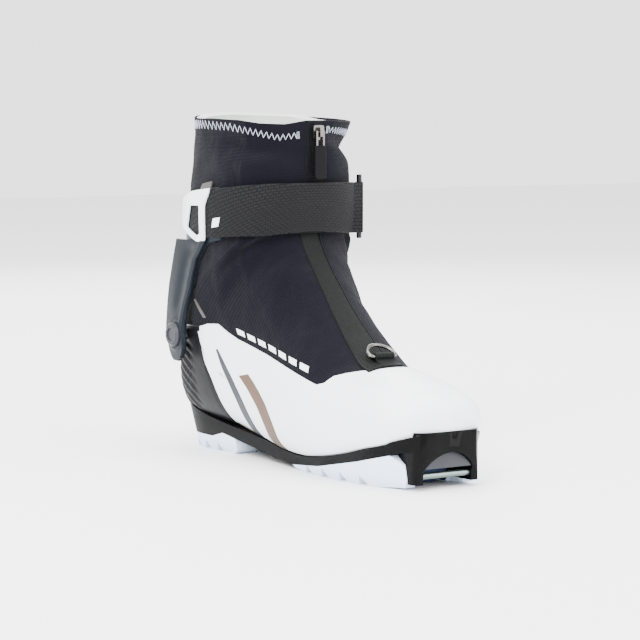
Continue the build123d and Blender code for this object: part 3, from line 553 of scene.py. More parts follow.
def bumper_black(name):
    """Black sole plate: glossy round the toe, matt with fine grain further back."""
    made = Shader(name, (0.0022, 0.0022, 0.0024), 0.3, Specular_IOR_Level=0.05)
    x, _, _ = made.split(made.place)
    toe = made.math("MULTIPLY_ADD", x, 1 / (50 * MM), -1.3, clamp=True)
    drift = made.noise(made.place, 6, 3)
    made.tint(drift, 0.8, 1.3)
    rough = made.math("MULTIPLY_ADD", toe, -0.32, made.math("MULTIPLY_ADD", drift, 0.1, 0.44), clamp=True)
    made.links.new(rough, made.shader.inputs["Roughness"])
    made.bump(made.noise(made.place, 0.7, 3), 0.02)
    return made.material


def champagne(name):
    """Metallic print broken into fine hatched lines."""
    made = Shader(name, (0.125, 0.068, 0.042), 0.42, Specular_IOR_Level=0.2)
    u, _, _ = made.split(made.uv)
    hatch = made.wave(made.math("ADD", u, made.math("MULTIPLY", made.noise(made.uv, 9, 2), 0.5 * MM)), 0.9)
    made.tint(hatch, 1.0, 0.384)
    made.vary_roughness(made.noise(made.uv, 1.5, 3), 0.32, 0.52)
    made.bump(hatch, 0.03)
    return made.material


def thread(name, colour):
    """Twisted sewing thread."""
    made = Shader(name, colour, 0.6, Sheen_Weight=0.3)
    u, v, _ = made.split(made.uv)
    twist = made.wave(made.math("ADD", u, v), 0.6)
    made.tint(twist, 0.8, 1.1)
    made.bump(twist, 0.08)
    return made.material


WHITE = overlay_white("overlay_white")
SOFTSHELL = knit("softshell_navy", (0.0034, 0.0031, 0.0058))
COUNTER = plastic("counter_black", (0.0045, 0.0045, 0.0056), 0.42, 0.8, 0.04, Specular_IOR_Level=0.09)
SOLE_BLACK = bumper_black("sole_black")
TREAD = rubber_sole("tread_pale")
SOLE_BLUE = plastic("sole_blue", (0.014, 0.026, 0.075), 0.42, 0.9, 0.05, Specular_IOR_Level=0.15)
INSERT = plastic("insert_grey", (0.034, 0.035, 0.041), 0.38, 0.8, 0.04, Specular_IOR_Level=0.12)
STEEL = polished("bar_steel", (0.17, 0.21, 0.20), 0.32)
NICKEL = polished("nickel", (0.13, 0.125, 0.118), 0.22)
GUNMETAL = polished("ring_dark", (0.022, 0.022, 0.024), 0.28)
PIVOT_METAL = polished("pivot_metal", (0.16, 0.17, 0.185), 0.3)
FLAP = ribbed("storm_flap", (0.0056, 0.0062, 0.0060))
ZIP_BLACK = ribbed("zip_black", (0.0035, 0.0035, 0.0045), 1.1)
LINING = fleece("lining", (0.44, 0.475, 0.44))
WEBBING = webbing("webbing", (0.0050, 0.0050, 0.0056))
CUFF = plastic("cuff_dark", (0.0062, 0.0085, 0.0120), 0.38, 0.6, 0.03, Specular_IOR_Level=0.10)
CAP_WHITE = plastic("cap_white", (0.80, 0.82, 0.86), 0.30, 0.9, 0.03, Coat_Weight=0.15)
PULL = plastic("pull_rubber", (0.0025, 0.0025, 0.003), 0.5, 0.5, 0.05, Specular_IOR_Level=0.06)
BOARD = plastic("board", (0.16, 0.14, 0.11), 0.8, 1.2, 0.1)
FOOTBED = fleece("footbed", (0.06, 0.065, 0.075))
GREY_PRINT = plastic("grey_print", (0.021, 0.027, 0.031), 0.4, 0.8, 0.02, Specular_IOR_Level=0.2)
TAB_GREY = plastic("tab_grey", (0.062, 0.058, 0.056), 0.45, 0.8, 0.03, Specular_IOR_Level=0.2)
CHAMPAGNE = champagne("champagne_print")
THREAD_WHITE = thread("thread_white", (0.42, 0.46, 0.54))
PRINT_WHITE = plastic("print_white", (0.80, 0.81, 0.84), 0.4, 0.8, 0.02)

CAD_FINISH = {
    "sole_plate": SOLE_BLACK, "binding_bar": STEEL, "outsole_forefoot": TREAD, "outsole_heel": TREAD,
    "toe_guide_block": SOLE_BLUE, "toe_recess_insert": INSERT, "lasting_board": BOARD,
    "pivot_rivet_lateral": PIVOT_METAL, "pivot_rivet_medial": PIVOT_METAL,
    "pivot_cap_lateral": INSERT, "pivot_cap_medial": INSERT, "d_ring": NICKEL, "strap_ring": GUNMETAL,
    "zip_slider": NICKEL, "pull_link": NICKEL, "pull_tab": PULL,
}
for node_name, finish_material in CAD_FINISH.items():
    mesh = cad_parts[node_name].data
    mesh.materials.clear()
    mesh.materials.append(finish_material)

# ---- moulded parts with eased edges ------------------------------------------------------------
EASED = (("sole_plate", 0.8, "sole_black"), ("outsole_forefoot", 0.7, "tread_pale"),
         ("outsole_heel", 0.7, "tread_pale"), ("toe_guide_block", 0.6, "sole_blue"),
         ("toe_recess_insert", 0.8, "insert_grey"))


def softened(node_name, width_mm):
    """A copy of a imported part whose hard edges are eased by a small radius, riding the same body."""
    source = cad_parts[node_name]
    mesh = source.data.copy()
    mesh.transform(source.matrix_world)
    edit = bmesh.new()
    edit.from_mesh(mesh)
    bmesh.ops.remove_doubles(edit, verts=edit.verts, dist=0.001 * MM)
    bmesh.ops.dissolve_limit(edit, angle_limit=math.radians(3), verts=edit.verts, edges=edit.edges)
    edit.to_mesh(mesh)
    edit.free()
    obj = bpy.data.objects.new(f"{node_name}_moulded", mesh)
    bpy.context.scene.collection.objects.link(obj)
    bevel = obj.modifiers.new("ease", "BEVEL")
    bevel.width, bevel.segments, bevel.angle_limit = width_mm * MM, 3, math.radians(28)
    bevel.limit_method, bevel.use_clamp_overlap = "ANGLE", True
    bpy.context.view_layer.update()
    eased = bpy.data.meshes.new_from_object(obj.evaluated_get(bpy.context.evaluated_depsgraph_get()))
    obj.modifiers.clear()
    obj.data = eased
    eased.shade_smooth()
    eased.set_sharp_from_angle(angle=math.radians(40))
    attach(obj, "boot")
    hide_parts(node_name)


for node_name, width_mm, slot_name in EASED:
    softened(node_name, width_mm)

# ---- seams -------------------------------------------------------------------------------------
# Side view lines (x, z), except COUNTER_EDGE (z, x) and RIM (angle, station).
SEAM = ((-150, 87), (-122, 86), (-104, 84), (-86, 84.5), (-78, 84.7), (-70.3, 86.6), (-58.4, 87.4),
        (-42.5, 80.2), (-6, 72.2), (29.4, 63.2), (50.4, 57.9), (55.5, 59.3), (58.2, 63.6),
        (64.0, 65.6), (69.6, 67.0), (77.4, 68.4), (84.0, 72.5))
COUNTER_EDGE = ((13.0, -50.0), (24.7, -59.0), (36.5, -64.0), (49.1, -69.2), (61.2, -76.5), (72.0, -80.8),
                (84.5, -86.0))
STRAP_TOP = ((-100, 166.5), (-56, 176.0), (-33, 179.0), (-19, 180.8), (-10, 181.5))
STRAP_BOTTOM = ((-100, 147.5), (-62, 145.0), (-35, 147.0), (-17, 148.5), (-10, 149.0))
BAND_FOOT = ((-160, 112), (-80, 112), (-76, 120), (-72, 129), (-66, 135), (-60, 141.5), (-40, 146))
BAND_HEAD = ((-160, 171), (-120, 169), (-90, 170), (-56, 177), (-40, 179))
RIM = ((-180, 19.12), (-140, 19.06), (-90, 18.98), (-48, 18.88), (-13, 18.98), (7, 18.98), (25, 18.80),
       (44, 18.83), (62, 18.96), (86, 19.0), (107, 18.98), (140, 19.06), (180, 19.12))

WHOLE = np.arange(0, 360, 2.0)
ANKLE = 9.0                         # the strap's and the cuff's lines lie past this station


def signed_angle(phi):
    """Angles as -180 to 180."""
    return (np.asarray(phi, float) + 180) % 360 - 180


def along(table, phi):
    """Stations of a table of (angle, station) at the given angles."""
    angles, values = zip(*table)
    return np.interp(signed_angle(phi), angles, values)


def seam_station(phis):
    """Where the shell and the counter end, at each angle."""
    return crossing(phis, above(SEAM))


def counter_station(phis):
    """Where the white shell gives way to the counter, just short of the seam."""
    edge = crossing(phis, lambda x, z: np.interp(z, *zip(*COUNTER_EDGE)) - x)
    return np.minimum(edge, seam_station(phis) - 0.15)


# ---- white shell and heel counter --------------------------------------------------------------
SHELL_THICK = 1.5
COUNTER_SIDE = 97.0                 # the counter's front edge runs down from this angle
# Every 2 degrees, and closer where the seam turns and along the counter's edge.
shell_phis = np.unique(np.concatenate((np.arange(-140, 141, 2.0), np.arange(40, 64, 0.5),
                                       np.arange(-64, -40, 0.5), np.arange(84, 104, 0.5),
                                       np.arange(-104, -84, 0.5))))
shell_top = np.where(np.abs(shell_phis) >= COUNTER_SIDE, counter_station(shell_phis),
                     seam_station(shell_phis))


def shell_height(s, phi):
    """A shallow hollow along the side, above the sole."""
    side = np.exp(-((np.abs(signed_angle(phi)) - 96) / 26) ** 2)
    return -0.9 * side * smooth(2.5, 5.5, s) * (1 - smooth(8.5, 11.0, s))


white_shell = patch("white_shell", shell_phis, 0.0, shell_top, shell_height, SHELL_THICK, WHITE,
                    rows=70, toe=True)
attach(white_shell, "boot")
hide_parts("shell_upper")

COUNTER_THICK, RIDGE_PITCH = 2.2, 6.2
RIDGE_ACROSS = (0.50, 0.866)        # side view direction across the ridges
counter_phis = COUNTER_SIDE + (360 - 2 * COUNTER_SIDE) * edged(120, 0.002)


def counter_height(s, phi):
    """Diagonal ridges on both sides of the heel, fading out at the back and at the edges."""
    x, _, z = np.moveaxis(skin(s, phi), -1, 0)
    run = x * RIDGE_ACROSS[0] + z * RIDGE_ACROSS[1]
    ridge = np.abs(((run / RIDGE_PITCH) % 1.0) - 0.5) * 2
    side = smooth(-88, -96, x) * smooth(24, 31, z) * smooth(76, 70, z)
    bevel = smooth(0.0, 1.0, (s - s[0]) / 0.12) * smooth(0.0, 1.0, (s[-1] - s) / 0.12)
    return 0.25 + bevel * (0.35 + 1.3 * side * smooth(0.25, 0.75, ridge) - 0.5 * side)


heel_cup = patch("heel_cup", counter_phis, counter_station(counter_phis) + 0.01,
                 seam_station(counter_phis), counter_height, COUNTER_THICK, COUNTER, rows=90)
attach(heel_cup, "boot")
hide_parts("heel_counter")

# ---- gaiter, liner, tongue, footbed ------------------------------------------------------------
# Soft dents and folds of the gaiter: station, angle, spread in stations and in degrees, height.
FOLDS = (
    (18.0, 58, 0.42, 34, -2.6), (17.0, 44, 0.5, 24, 1.3), (17.95, -46, 0.45, 34, -4.6),
    (17.2, 98, 0.6, 22, -1.4), (15.1, 34, 0.35, 28, -1.4), (14.35, 56, 0.3, 36, 1.7),
    (13.7, 40, 0.3, 30, -2.2), (12.95, 60, 0.36, 26, 1.5), (12.25, 44, 0.33, 24, -1.7),
    (14.2, -48, 0.4, 30, -2.6), (13.2, -36, 0.35, 26, 1.6), (12.5, -48, 0.4, 26, -2.2),
    (11.4, 66, 0.45, 18, -1.4), (10.2, 38, 0.5, 14, 1.1), (15.2, 180, 0.5, 50, -1.5),
    (14.2, 150, 0.4, 30, 1.2), (17.0, 150, 0.5, 30, 1.0), (16.6, -120, 0.5, 40, -1.2),
    (8.6, 40, 0.6, 12, -1.0), (9.2, -40, 0.6, 14, -1.2), (11.6, 34, 0.3, 14, -0.9),
)


def folds(s, phi):
    """The dents and folds together, over a faint all-over ripple."""
    total = np.zeros(np.broadcast(s, phi).shape)
    for centre_s, centre_phi, wide_s, wide_phi, height in FOLDS:
        turn = signed_angle(phi - centre_phi)
        skewed = s - centre_s - 0.012 * turn
        total += 1.45 * height * np.exp(-(skewed / wide_s) ** 2 - (turn / wide_phi) ** 2)
    ripple = np.sin(s * 5.1 + np.radians(phi) * 3) * np.sin(np.radians(phi) * 5 + s * 1.7)
    return total + 0.25 * ripple * smooth(5, 9, s)


def all_round(stations):
    """A function of the angle from stations given at every angle of WHOLE."""
    return lambda phi: np.interp(phi % 360, np.append(WHOLE, 360), np.append(stations, stations[0]))


seam_all = seam_station(WHOLE)
seam_at = all_round(seam_all)
strap_low_at = all_round(crossing(WHOLE, above(STRAP_BOTTOM), ANKLE))
strap_high_at = all_round(crossing(WHOLE, above(STRAP_TOP), ANKLE))
UNDERLAP = 0.95                     # how far the gaiter runs on beneath the shell, in stations


def gaiter_height(s, phi):
    """Folded where it is free, flat at the seam, the strap and the zip, and flared at the rim."""
    seam, low, high = seam_at(phi), strap_low_at(phi), strap_high_at(phi)
    free = smooth(0.15, 1.3, s - seam)
    under_strap = smooth(-0.6, 0.1, s - low) * (1 - smooth(-0.1, 0.6, s - high))
    beneath = -2.2 * (1 - smooth(-0.10, 0.02, s - seam))
    flare = 1.8 * smooth(18.3, 19.1, s) * smooth(30, 60, np.abs(signed_angle(phi)))
    zip_zone = np.exp(-(signed_angle(phi) / 8.0) ** 2)
    soft = folds(s, phi) * free * (1 - 0.9 * under_strap) * (1 - 0.8 * zip_zone)
    sunk = 0.7 * (1 - free) * (s > seam - 0.02)
    return soft - sunk + beneath + flare - 0.5 * under_strap - 0.5 * zip_zone


gaiter = patch("softshell_gaiter", WHOLE, np.maximum(seam_all - UNDERLAP, 3.6), along(RIM, WHOLE),
               gaiter_height, 1.3, SOFTSHELL, rows=150, closed=True)
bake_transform(gaiter)
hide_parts("gaiter_lower_lateral", "gaiter_lower_medial", "gaiter_flex", "gaiter_upper")


def liner_height(s, phi):
    """The padding thins and rolls over at the collar."""
    roll = smooth(18.5, 19.1, s)
    return gaiter_height(np.maximum(s, ANKLE), phi) * smooth(15, 17, s) - 3.0 + 1.3 * roll


liner_top = along(RIM, WHOLE) - 0.16 + 0.16 * smooth(95, 130, np.abs(signed_angle(WHOLE)))
liner = patch("padded_liner", WHOLE, 0.7, liner_top, liner_height, 5.6, LINING, rows=90, closed=True,
              bulge=0.30)
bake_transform(liner)
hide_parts("liner_lower", "liner_flex", "liner_upper", "collar_lining")

TONGUE_HALF = 34                    # degrees each side of the front line
tongue_phis = np.linspace(-TONGUE_HALF, TONGUE_HALF, 35)


def tongue_height(s, phi):
    """Thinner at its sides, with soft quilting from the ankle up."""
    return -11.2 - 1.5 * (phi / TONGUE_HALF) ** 4 + 0.5 * np.sin(s * 3.2) * (s > 12)


tongue = patch("padded_tongue", tongue_phis, 6.2, 18.0 + 0.35 * np.cos(np.radians(tongue_phis * 2.4)),
               tongue_height, 3.2, FOOTBED, rows=60)
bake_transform(tongue)
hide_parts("tongue")

footbed = patch("moulded_footbed", np.linspace(150, 210, 25), 2.6, 11.0, -10.6, 3.4, FOOTBED, rows=40)
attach(footbed, "boot")
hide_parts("footbed")

# ---- zip, storm flap ---------------------------------------------------------------------------
# Edges of the flap as (station, angle).
FLAP_LEFT = ((5.0, 22), (5.65, 20), (6.78, 15), (7.83, 12), (8.83, 9), (9.98, 6.5), (11.5, 5.5), (14, 5.5))
FLAP_RIGHT = ((5.0, -8), (6.10, -7.5), (7.05, -8), (7.90, -7.5), (8.65, -7), (9.55, -6), (11.3, -4.5),
              (14, -4.5))
FLAP_TOP = 13.2


def strip_grid(left, right, low, high, rows, columns):
    """Stations and angles of a strip between two edge lines given as (station, angle)."""
    s = low + (high - low) * edged(rows)[:, None]
    near, far = np.interp(s, *zip(*left)), np.interp(s, *zip(*right))
    phi = near + (far - near) * edged(columns, 0.03)[None, :]
    return np.broadcast_to(s, phi.shape), phi


s, phi = strip_grid(FLAP_LEFT, FLAP_RIGHT, 5.12, FLAP_TOP, 90, 12)
crown = 1 - (2 * (phi - phi[:, :1]) / (phi[:, -1:] - phi[:, :1]) - 1) ** 2
top = gaiter_height(s, phi) * smooth(5.3, 6.4, s) + 0.9 + 0.5 * crown
storm_flap = sheet("storm_flap_strip", s, phi, top, 1.4, FLAP, bulge=0.3)
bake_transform(storm_flap)
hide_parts("storm_flap_lower", "storm_flap_flex")

cord_s = np.linspace(5.4, 12.6, 140)
cord_phi = np.interp(cord_s, *zip(*FLAP_RIGHT)) - 1.4
cord_path = layer(cord_s, cord_phi, gaiter_height(cord_s, cord_phi) + 0.25)
seam_cord = tube("flap_seam_cord", cord_path, 0.75, ZIP_BLACK)
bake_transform(seam_cord)

tape_phis = np.linspace(-6.2, 6.2, 13)


def tape_height(s, phi):
    """The tape lies on the gaiter and rises along the teeth."""
    return gaiter_height(s, phi) + 0.45 + 0.35 * smooth(2.2, 1.4, np.abs(phi))


zip_tape = patch("zip_tape_strip", tape_phis, 15.2, along(RIM, tape_phis) - 0.02, tape_height, 1.1,
                 ZIP_BLACK, rows=60)
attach(zip_tape, "cuff")
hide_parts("zip_tape")


def tooth_row():
    """Moulded zip teeth, alternating left and right of the centre line."""
    teeth = []
    for index, station in enumerate(np.arange(15.6, 18.9, 0.075)):
        side = 1 if index % 2 else -1
        s_grid = np.array([[station - 0.025], [station + 0.025]]) * np.ones((2, 3))
        phi_grid = np.array([[-0.5, 0.8, 2.1]]) * side * np.ones((2, 3))
        lift = gaiter_height(s_grid, phi_grid) + 1.5
        teeth.append(sheet(f"tooth_{index}", s_grid, phi_grid, lift, 0.9, ZIP_BLACK, bulge=0.3))
    return join("zip_teeth_row", teeth)


zip_teeth = tooth_row()
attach(zip_teeth, "cuff")
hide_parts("zip_teeth")

# ---- cuff --------------------------------------------------------------------------------------
PIVOT = np.array((-98.0, 78.5))     # x, z of the rivets
ARM_INNER_Y = 51.9
# Heights of the arm's rows, then its half width, front edge and heel edge as (z, value).
ARM_Z = np.array((61.0, 63.0, 66.0, 70.0, 78.0, 88.0, 99.0, 110.0, 120.0, 130.0, 136.0, 142.5))
ARM_HALF = ((61, 55.3), (80, 56.2), (100, 55.6), (120, 54.8), (142.5, 54.3))
ARM_FRONT = ((61, -95.5), (63, -92.0), (66, -89.6), (70, -88.2), (90, -87.5), (99, -84.0), (110, -79.0),
             (120, -76.0), (130, -72.0), (136, -66.0), (142.5, -60.5))
ARM_HEEL = ((61, -101.5), (63, -104.6), (66, -107.2), (70, -109.3), (78, -112.6), (90, -114.5), (108, -110.5),
            (125, -104.5), (142.5, -98.0))
PLAN_X, PLAN_REACH, PLAN_POWER = -70.0, 80.0, 3.0


def arm_grid(side):
    """Outer face of a cuff arm: a superellipse in plan with a scooped channel behind its front ridge."""
    z = np.interp(np.linspace(0, 1, 72), np.linspace(0, 1, len(ARM_Z)), ARM_Z)[:, None]
    half = np.interp(z, *zip(*ARM_HALF))
    thin = ((ARM_INNER_Y + 1.0) / half) ** PLAN_POWER
    heel = np.maximum(PLAN_X - PLAN_REACH * (1 - thin) ** (1 / PLAN_POWER), np.interp(z, *zip(*ARM_HEEL)))
    front = np.interp(z, *zip(*ARM_FRONT))
    t = edged(25, 0.02)[None, :]
    x = heel + (front - heel) * t
    y = half * (1 - np.abs((x - PLAN_X) / PLAN_REACH) ** PLAN_POWER) ** (1 / PLAN_POWER)
    away = np.hypot(x - PIVOT[0], z - PIVOT[1])
    channel = np.exp(-((t - 0.62) / 0.17) ** 2) * smooth(92, 104, z) * smooth(142, 134, z)
    ridge = np.exp(-((t - 0.90) / 0.06) ** 2) * smooth(70, 90, z)
    boss = np.exp(-((away - 10.0) / 1.2) ** 2)
    y = y - 1.3 * channel + 0.5 * ridge + 0.5 * boss
    y = np.maximum(y, ARM_INNER_Y + 0.8)
    z = z + 0 * x
    outer = np.stack((x, side * y, z), -1)
    inner = np.stack((x, side * np.full(x.shape, ARM_INNER_Y), z), -1)
    return outer, inner


BAND_HEIGHT, BAND_THICK = 1.6, 1.2
band_phis = np.arange(74, 287, 2.0)
cuff_parts = [patch("cuff_band", band_phis, crossing(band_phis, above(BAND_FOOT), ANKLE),
                    crossing(band_phis, above(BAND_HEAD), ANKLE), BAND_HEIGHT, BAND_THICK, CUFF, rows=40)]
for side, side_name in SIDES:
    cuff_parts.append(slab(f"cuff_arm_{side_name}", *arm_grid(side), CUFF, bulge=0.22))
cuff_frame = join("cuff_frame", cuff_parts)
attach(cuff_frame, "cuff")
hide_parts("cuff_shell")

# Side view outlines (x, z) of the white cap and of its window, and a place inside both.
CAP_OUTLINE = ((-53.7, 177.5), (-59.8, 166.0), (-60.6, 143.0), (-69.0, 141.8), (-84.0, 147.0), (-97.0, 151.0),
               (-102.0, 158.0), (-97.0, 169.5), (-78.0, 174.5))
CAP_WINDOW = ((-66.0, 166.0), (-65.8, 147.5), (-70.0, 145.8), (-84.5, 151.0), (-78.5, 165.6))
CAP_CENTRE = np.array((-72.5, 155.5))
CAP_HEIGHT, CAP_THICK = 4.8, 1.7


def ray_to(outline, centre, angles):
    """Where rays from a centre meet a closed outline, for outlines that the centre sees all round."""
    points = rounded(resample(outline, 400, closed=True), 10, closed=True)
    offset = points - centre
    heading = np.unwrap(np.arctan2(offset[:, 1], offset[:, 0]))
    if heading[-1] < heading[0]:
        heading, offset = heading[::-1], offset[::-1]
    span = np.concatenate((heading - 2 * math.pi, heading, heading + 2 * math.pi))
    reach = np.tile(np.hypot(offset[:, 0], offset[:, 1]), 3)
    radius = np.interp(angles, span, reach)
    return centre + np.stack((np.cos(angles), np.sin(angles)), -1) * radius[:, None]


cap_angles = np.linspace(0, 2 * math.pi, 121)[:-1]
cap_window, cap_edge = (ray_to(outline, CAP_CENTRE, cap_angles) for outline in (CAP_WINDOW, CAP_OUTLINE))
cap_share = edged(12, 0.02)[:, None]
cap_places = cap_window + (cap_edge - cap_window) * cap_share[..., None]
rim_drop = 1.0 * smooth(0.86, 1.0, cap_share) ** 2 + 0.6 * smooth(0.2, 0.0, cap_share) ** 2
for side, side_name in SIDES:
    s, phi = locate(cap_places[..., 0], cap_places[..., 1], side)
    cap_inner = np.full(s.shape, CAP_HEIGHT - CAP_THICK)
    cap = slab(f"cuff_cap_{side_name}_cover", layer(s, phi, CAP_HEIGHT - rim_drop + 0 * s),
               layer(s, phi, cap_inner), CAP_WHITE, closed=True, bulge=0.25)
    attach(cap, "cuff")
    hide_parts(f"cuff_cap_{side_name}")

# ---- strap -------------------------------------------------------------------------------------
STRAP_END = -40                     # angle where the strap leaves the boot for its ring


def strap_edges(phis):
    """Stations of the strap's lower and upper edge."""
    return (crossing(phis, above(line), ANKLE) for line in (STRAP_BOTTOM, STRAP_TOP))


def strap_piece(name, node, start, end, height, thick, inset=0.0, body="cuff"):
    """A length of the cuff strap between two angles, with a slightly raised woven edge."""
    phis = start + (end - start) * edged(60, 0.01)
    low, high = strap_edges(phis)

    def lift(s, phi):
        share = (s - s[0]) / (s[-1] - s[0])
        return height + 0.25 * (np.exp(-(share / 0.05) ** 2) + np.exp(-((1 - share) / 0.05) ** 2))

    piece = patch(name, phis, low + inset, high - inset, lift, thick, WEBBING, rows=28)
    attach(piece, body)
    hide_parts(node)


strap_piece("strap_under_layer", "strap_base", STRAP_END, 124, 2.6, 1.0)
strap_piece("strap_flap_layer", "strap_flap", STRAP_END, 75, 3.9, 1.1, inset=0.02, body="strap_flap")
strap_piece("strap_ring_side", "ring_strap", 236, 302, 2.6, 1.0)

# ---- stitching and prints ----------------------------------------------------------------------
# Centre line of the collar's zigzag seam as (angle, station).
ZIGZAG = ((-180, 18.72), (-120, 18.62), (-52, 18.42), (-30, 18.50), (-13, 18.56), (16, 18.30), (29, 18.22),
          (48, 18.48), (70, 18.72), (101, 18.80), (140, 18.76), (180, 18.72))


def zigzag(name, start, end, count, swing):
    """A thread that swings to both sides of the seam line, count times there and back."""
    phis = np.linspace(start, end, 2 * count + 1)
    centre = along(ZIGZAG, phis)
    turns = np.arange(len(phis))
    s = centre + np.where(turns % 2, swing, -swing)
    fine = np.arange(0, turns[-1] + 1e-6, 0.25)
    s_fine, phi_fine = np.interp(fine, turns, s), np.interp(fine, turns, phis)
    lift = gaiter_height(s_fine, phi_fine) + 0.28
    return tube(name, layer(s_fine, phi_fine, lift), 0.2, THREAD_WHITE, 6)


def bartack(name, phi_centre):
    """A dense block of stitches that closes the zigzag beside the zip."""
    steps = np.arange(0, 15)
    s = along(ZIGZAG, phi_centre) + np.where(steps % 2, 0.16, -0.16)
    phis = phi_centre + (steps - 7) * 0.16
    return tube(name, layer(s, phis, gaiter_height(s, phis) + 0.4), 0.22, THREAD_WHITE, 6)


collar_stitch = join("collar_zigzag", [zigzag("zig_a", 15.5, 348, 78, 0.14), bartack("tack_a", 14.6),
                                       bartack("tack_b", -12.0)])
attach(collar_stitch, "cuff")


def side_strip(name, line, height, thick, material, rows=60, side=LATERAL):
    """A strip on the side of the boot along a side view centre line of (x, z, half width in x)."""
    centre = rounded(resample(line, rows), 6)
    t = np.linspace(-1, 1, 9)[None, :]
    xs = centre[:, :1] + centre[:, 2:] * t
    zs = centre[:, 1:2] + 0.18 * centre[:, 2:] * t
    s, phi = locate(xs, zs, side)
    return sheet(name, s, phi, height_of(height, s, phi), thick, material, bulge=0.1)


GREY_LINE = ((-61.0, 71.0, 0.9), (-54.5, 61.0, 2.4), (-46.0, 50.0, 3.0), (-37.5, 38.5, 3.6),
             (-30.5, 27.0, 4.3), (-25.0, 15.0, 5.0))
TAN_LINE = ((-31.0, 56.5, 5.5), (-21.0, 49.0, 5.6), (-9.0, 38.5, 5.8), (1.0, 26.0, 6.4), (6.5, 11.5, 7.5))
TAB_LINE = ((-82.0, 103.0, 1.2), (-77.0, 97.0, 1.4), (-72.5, 91.0, 1.4))
LUG_LINE = ((-63.0, 170.0, 6.5), (-61.0, 176.0, 6.5), (-58.5, 181.0, 5.0))
MARK_LINE = ((-49.5, 152.5, 2.8), (-48.0, 158.5, 2.8))


def on_shell(s, phi):
    """Height of a print on the white shell."""
    return shell_height(s, phi) + 0.38


def on_gaiter(s, phi):
    """Height of a tab sewn on the gaiter."""
    return gaiter_height(s, phi) + 0.5


for side, side_name in SIDES:
    grey = side_strip(f"grey_stripe_{side_name}", GREY_LINE, on_shell, 0.5, GREY_PRINT, side=side)
    tan = side_strip(f"hatched_stripe_{side_name}", TAN_LINE, on_shell, 0.5, CHAMPAGNE, side=side)
    for piece in (grey, tan):
        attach(piece, "boot")

for side, side_name in SIDES:
    tab = side_strip(f"reflective_tab_{side_name}", TAB_LINE, on_gaiter, 0.7, TAB_GREY, rows=24, side=side)
    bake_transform(tab)
    lug = side_strip(f"cap_lug_{side_name}", LUG_LINE, 2.9, 1.2, TAB_GREY, rows=16, side=side)
    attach(lug, "cuff")

strap_mark = side_strip("strap_mark", MARK_LINE, 4.35, 0.5, PRINT_WHITE, rows=10)
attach(strap_mark, "strap_flap")

# A plain row of slanted dashes above the seam on each side.
DASH_COUNT, DASH_FIRST, DASH_PITCH, DASH_LONG = 7, -38.0, 11.5, 8.0
DASH_LOW, DASH_TALL, DASH_SLANT = 3.6, 3.2, 1.6


def dash_row(side, side_name):
    """The dashes of one side, which follow the seam."""
    dashes = []
    across = np.linspace(0, 1, 8)[None, :]
    rise = np.linspace(0, 1, 5)[:, None]
    for index in range(DASH_COUNT):
        xs = DASH_FIRST + index * DASH_PITCH + DASH_LONG * across - DASH_SLANT * rise
        zs = np.interp(xs, *zip(*SEAM)) + DASH_LOW + DASH_TALL * rise
        s, phi = locate(xs, zs, side)
        lift = gaiter_height(s, phi) + 0.22
        dashes.append(sheet(f"dash_{index}", s, phi, lift, 0.5, PRINT_WHITE, bulge=0.1))
    return join(f"printed_dashes_{side_name}", dashes)


for side, side_name in SIDES:
    dashes = dash_row(side, side_name)
    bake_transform(dashes)

# ---- D-ring tab and rear pull loop -------------------------------------------------------------
def ribbon(name, path, half, thick, material):
    """A flat band whose side view is a path, extruded to a half width each side of the middle."""
    ahead = unit(np.gradient(path, axis=0))
    outward = np.stack((-ahead[:, 1], ahead[:, 0]), -1)
    ys = half * (2 * edged(8, 0.03) - 1)
    faces = []
    for offset in (-thick / 2, thick / 2):
        edge = path + outward * offset
        faces.append(np.stack([np.insert(edge, 1, y, axis=1) for y in ys], 1))
    return slab(name, *faces, material, bulge=0.3)


# The tab comes up from the boot, turns round the ring's bar as a sleeve and goes down behind it.
RING_BAR, SLEEVE_R = np.array((67.0, 75.0)), 1.9
TAB_HALF, TAB_THICK = 6.8, 0.9
sleeve_turns = np.radians(np.linspace(-60, 235, 24))
sleeve = RING_BAR + SLEEVE_R * np.stack((np.cos(sleeve_turns), np.sin(sleeve_turns)), -1)
tab_path = np.vstack(((77.5, 69.9), (74.0, 70.7), (70.5, 71.9), sleeve, (63.5, 73.9), (60.5, 75.1)))
ring_tab = ribbon("d_ring_webbing", rounded(resample(tab_path, 90), 4), TAB_HALF, TAB_THICK, FLAP)
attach(ring_tab, "boot")
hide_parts("d_ring_tab")

LOOP_PATH = ((-120.0, 219.2), (-124.5, 219.3), (-128.2, 215.5), (-129.6, 208.0), (-128.8, 199.0),
             (-124.4, 189.5), (-121.9, 186.0))
LOOP_HALF, LOOP_THICK = 7.0, 1.6
pull_loop = ribbon("rear_pull_webbing", rounded(resample(LOOP_PATH, 48), 4), LOOP_HALF, LOOP_THICK, WEBBING)
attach(pull_loop, "cuff")
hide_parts("rear_pull_loop")

# ---- strap fold --------------------------------------------------------------------------------
# In plan: the ring's own direction, the direction across it, and the bar that the strap turns round.
RING_CENTRE, RING_HALF, RING_TURN = np.array((-28.0, 46.5)), 4.75, math.radians(143.0)
RING_ALONG = np.array((math.cos(RING_TURN), math.sin(RING_TURN)))
RING_ACROSS = np.array((RING_ALONG[1], -RING_ALONG[0]))
NEAR_BAR = RING_CENTRE - RING_ALONG * RING_HALF
FOLD_R, FOLD_THICK, FOLD_FOOT, FOLD_TALL = 2.3, 1.1, 147.5, 33.0
fold_turns = np.radians(np.linspace(-112, 112, 30))[:, None]


def fold_face(radius):
    """The band round the ring's bar at one radius, as rows of constant height."""
    places = NEAR_BAR + radius * (np.cos(fold_turns) * RING_ALONG + np.sin(fold_turns) * RING_ACROSS)
    return np.stack([np.insert(places, 2, z, axis=1) for z in FOLD_FOOT + FOLD_TALL * edged(12, 0.01)])


